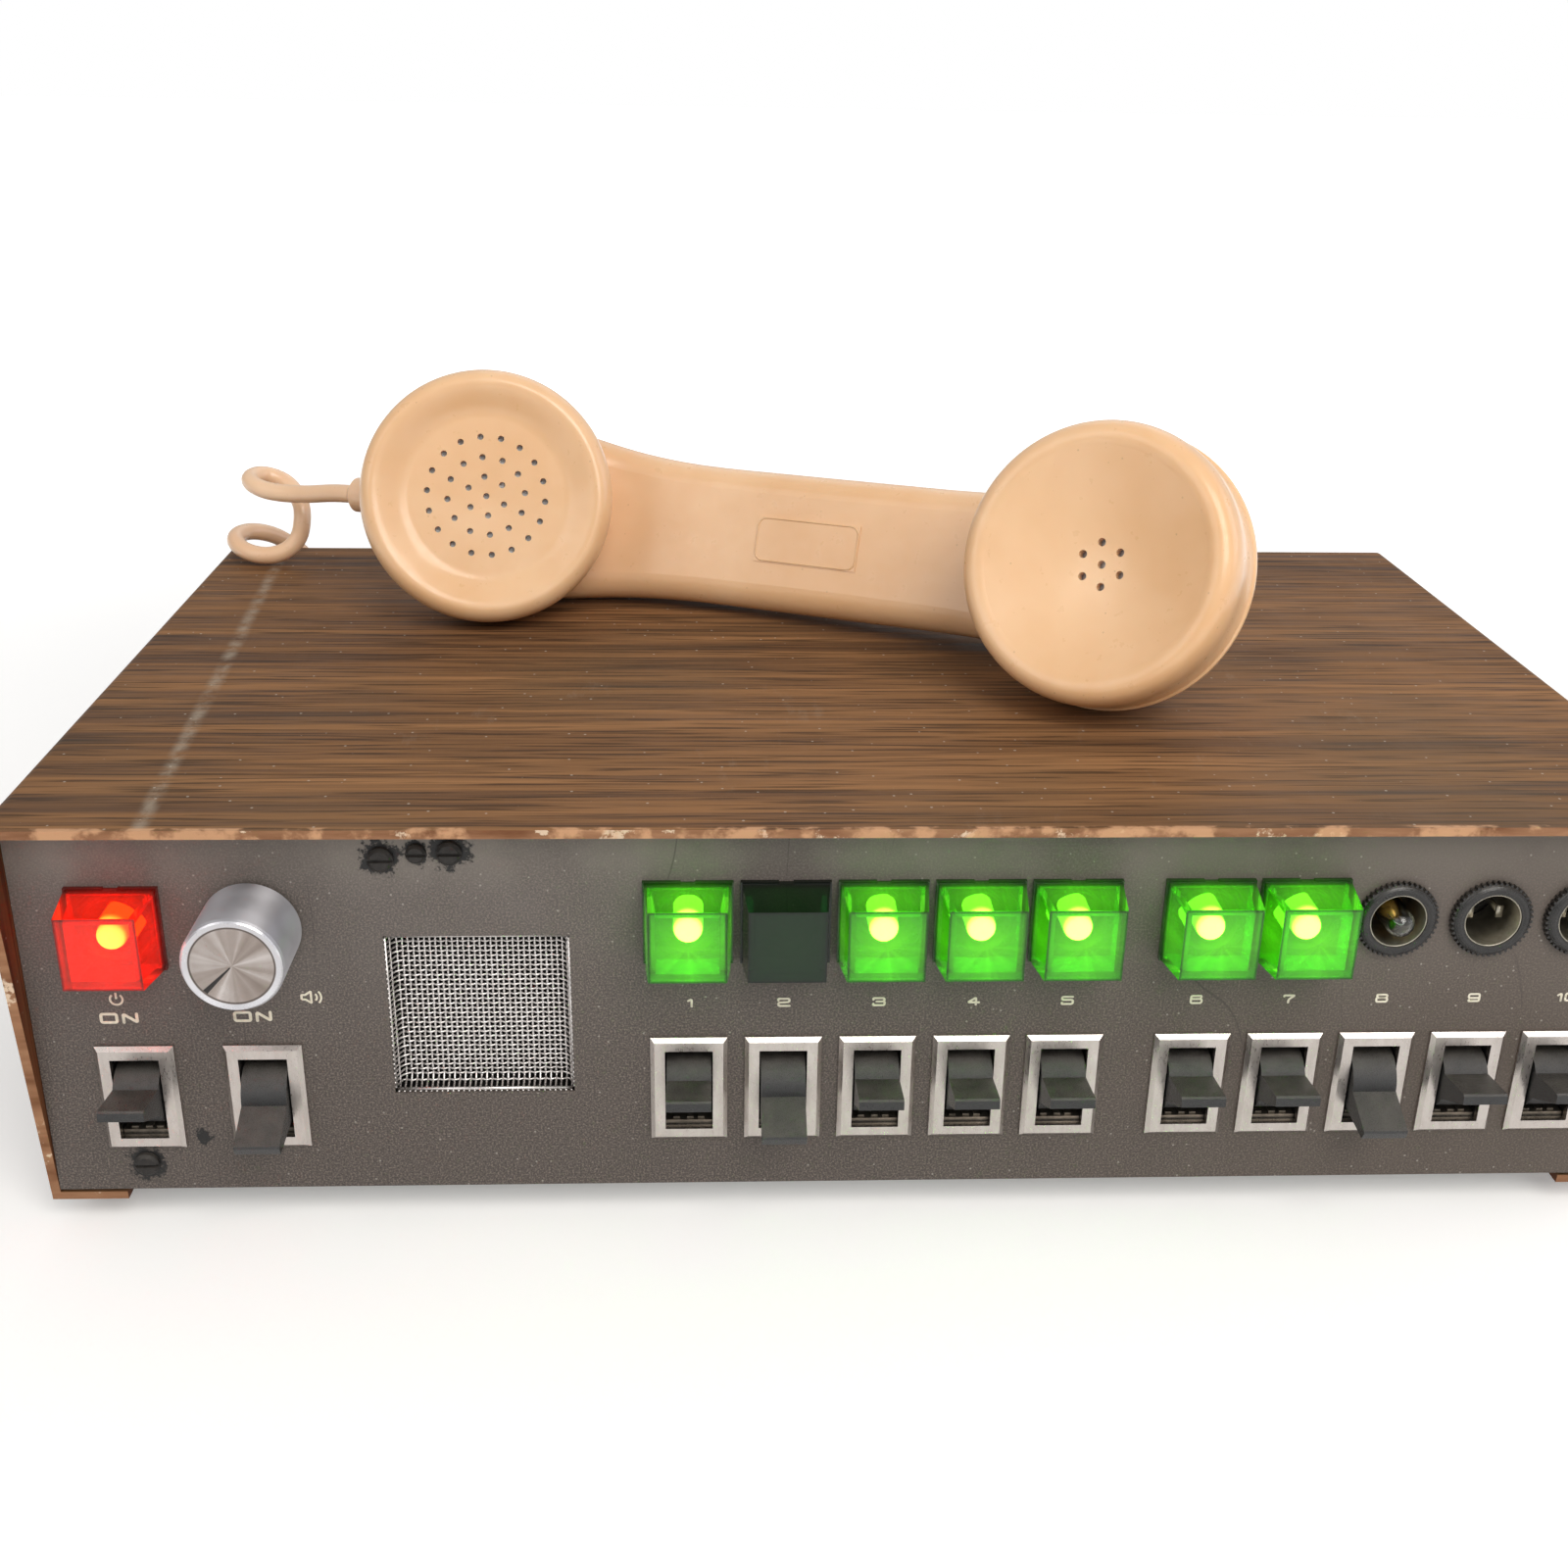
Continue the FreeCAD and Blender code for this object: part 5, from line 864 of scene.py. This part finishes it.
def make_grip_border():
    shape = Shape()
    reach, rise, corner = 14.1, 5.6, 2.2
    path = []
    for sx, sz, start in ((1, 1, 0), (-1, 1, 90), (-1, -1, 180), (1, -1, 270)):
        for i in range(7):
            a = math.radians(start + 15 * i)
            u, v = sx * (reach - corner) + corner * math.cos(a), sz * (rise - corner) + corner * math.sin(a)
            path.append(tuple(PLATE_MIDDLE + PLATE_ALONG * u + PLATE_UP * v + PLATE_OUT * 0.02))
    shape.tube(path + path[:2], 0.22, 8)
    shape.piece("grip_border", handset_shell, "handset_plastic", "handset")


make_grip_border()


# Floor, backdrop and light. These are in metres.
FLOOR_REACH = 6.0
FLOOR_Z = -0.0002


def make_floor():
    """A pale floor that fades to white with distance."""
    mesh = bpy.data.meshes.new("floor")
    corners = [(a * FLOOR_REACH, b * FLOOR_REACH, FLOOR_Z) for a, b in ((-1, -1), (1, -1), (1, 1), (-1, 1))]
    mesh.from_pydata(corners, [], [(0, 1, 2, 3)])
    floor = bpy.data.objects.new("floor", mesh)
    bpy.context.scene.collection.objects.link(floor)
    p = Paint("pale_floor", roughness=0.9)
    p.set("Base Color", p.ramp(p.noise(3, detail=2.0), (0.3, rgb(243, 243, 242)), (0.7, rgb(247, 247, 246))))
    path = p.node("ShaderNodeLightPath").outputs
    seen = p.math("MAXIMUM", path["Is Glossy Ray"], path["Is Transmission Ray"])
    seen = p.math("MAXIMUM", path["Is Camera Ray"], seen)
    away = p.length(p.place)
    p.set("Emission Color", (1, 1, 1, 1))
    p.set("Emission Strength", p.math("MULTIPLY", seen, p.range(away, 0.3, 1.1, 0.22, 1.0)))
    mesh.materials.append(p.material)


def make_light():
    """A white background, a dim even sky with a brighter side in reflections, and four soft lamps."""
    world = bpy.data.worlds.new("studio")
    bpy.context.scene.world = world
    world.use_nodes = True
    tree = world.node_tree
    back = tree.nodes["Background"]
    path = tree.nodes.new("ShaderNodeLightPath").outputs
    seen = tree.nodes.new("ShaderNodeMath")
    seen.operation = "MAXIMUM"
    both = tree.nodes.new("ShaderNodeMath")
    both.operation = "MAXIMUM"
    tree.links.new(path["Is Camera Ray"], seen.inputs[0])
    tree.links.new(path["Is Transmission Ray"], seen.inputs[1])
    tree.links.new(seen.outputs[0], both.inputs[0])
    tree.links.new(path["Is Glossy Ray"], both.inputs[1])
    way = tree.nodes.new("ShaderNodeTexCoord").outputs["Generated"]
    side = tree.nodes.new("ShaderNodeVectorMath")
    side.operation = "DOT_PRODUCT"
    side.inputs[1].default_value = (0.6, -0.25, 0.75)
    tree.links.new(way, side.inputs[0])
    soft = tree.nodes.new("ShaderNodeMapRange")
    soft.inputs["From Min"].default_value = -0.9
    soft.inputs["From Max"].default_value = 0.8
    soft.inputs["To Min"].default_value = 0.3
    soft.inputs["To Max"].default_value = 1.0
    tree.links.new(side.outputs["Value"], soft.inputs["Value"])
    shown = tree.nodes.new("ShaderNodeMix")
    tree.links.new(path["Is Camera Ray"], shown.inputs[0])
    tree.links.new(soft.outputs[0], shown.inputs[2])
    shown.inputs[3].default_value = 1.0
    strength = tree.nodes.new("ShaderNodeMix")
    tree.links.new(both.outputs[0], strength.inputs[0])
    strength.inputs[2].default_value = 0.4
    tree.links.new(shown.outputs[0], strength.inputs[3])
    tree.links.new(strength.outputs[0], back.inputs["Strength"])
    back.inputs["Color"].default_value = (1, 1, 1, 1)
    for name, place, size, energy, colour in (
            ("key", (0.32, -0.9, 0.95), 0.75, 10.5, (1.0, 0.96, 0.91)),
            ("fill", (-1.2, -0.9, 1.0), 1.0, 5, (1.0, 0.98, 0.96)),
            ("side", (1.2, 0.0, 0.55), 0.7, 2.5, (0.84, 0.84, 1.0)),
            ("back", (0.3, 1.3, 1.3), 1.2, 3, (1.0, 1.0, 1.0))):
        light = bpy.data.lights.new(name, "AREA")
        light.size = size
        light.energy = energy
        light.color = colour
        lamp = bpy.data.objects.new(name, light)
        bpy.context.scene.collection.objects.link(lamp)
        lamp.location = place
        lamp.rotation_mode = "QUATERNION"
        lamp.rotation_quaternion = (Vector((0, 0, 0.05)) - Vector(place)).to_track_quat("-Z", "Y")


make_floor()
make_light()
bpy.context.scene.view_settings.view_transform = "Standard"
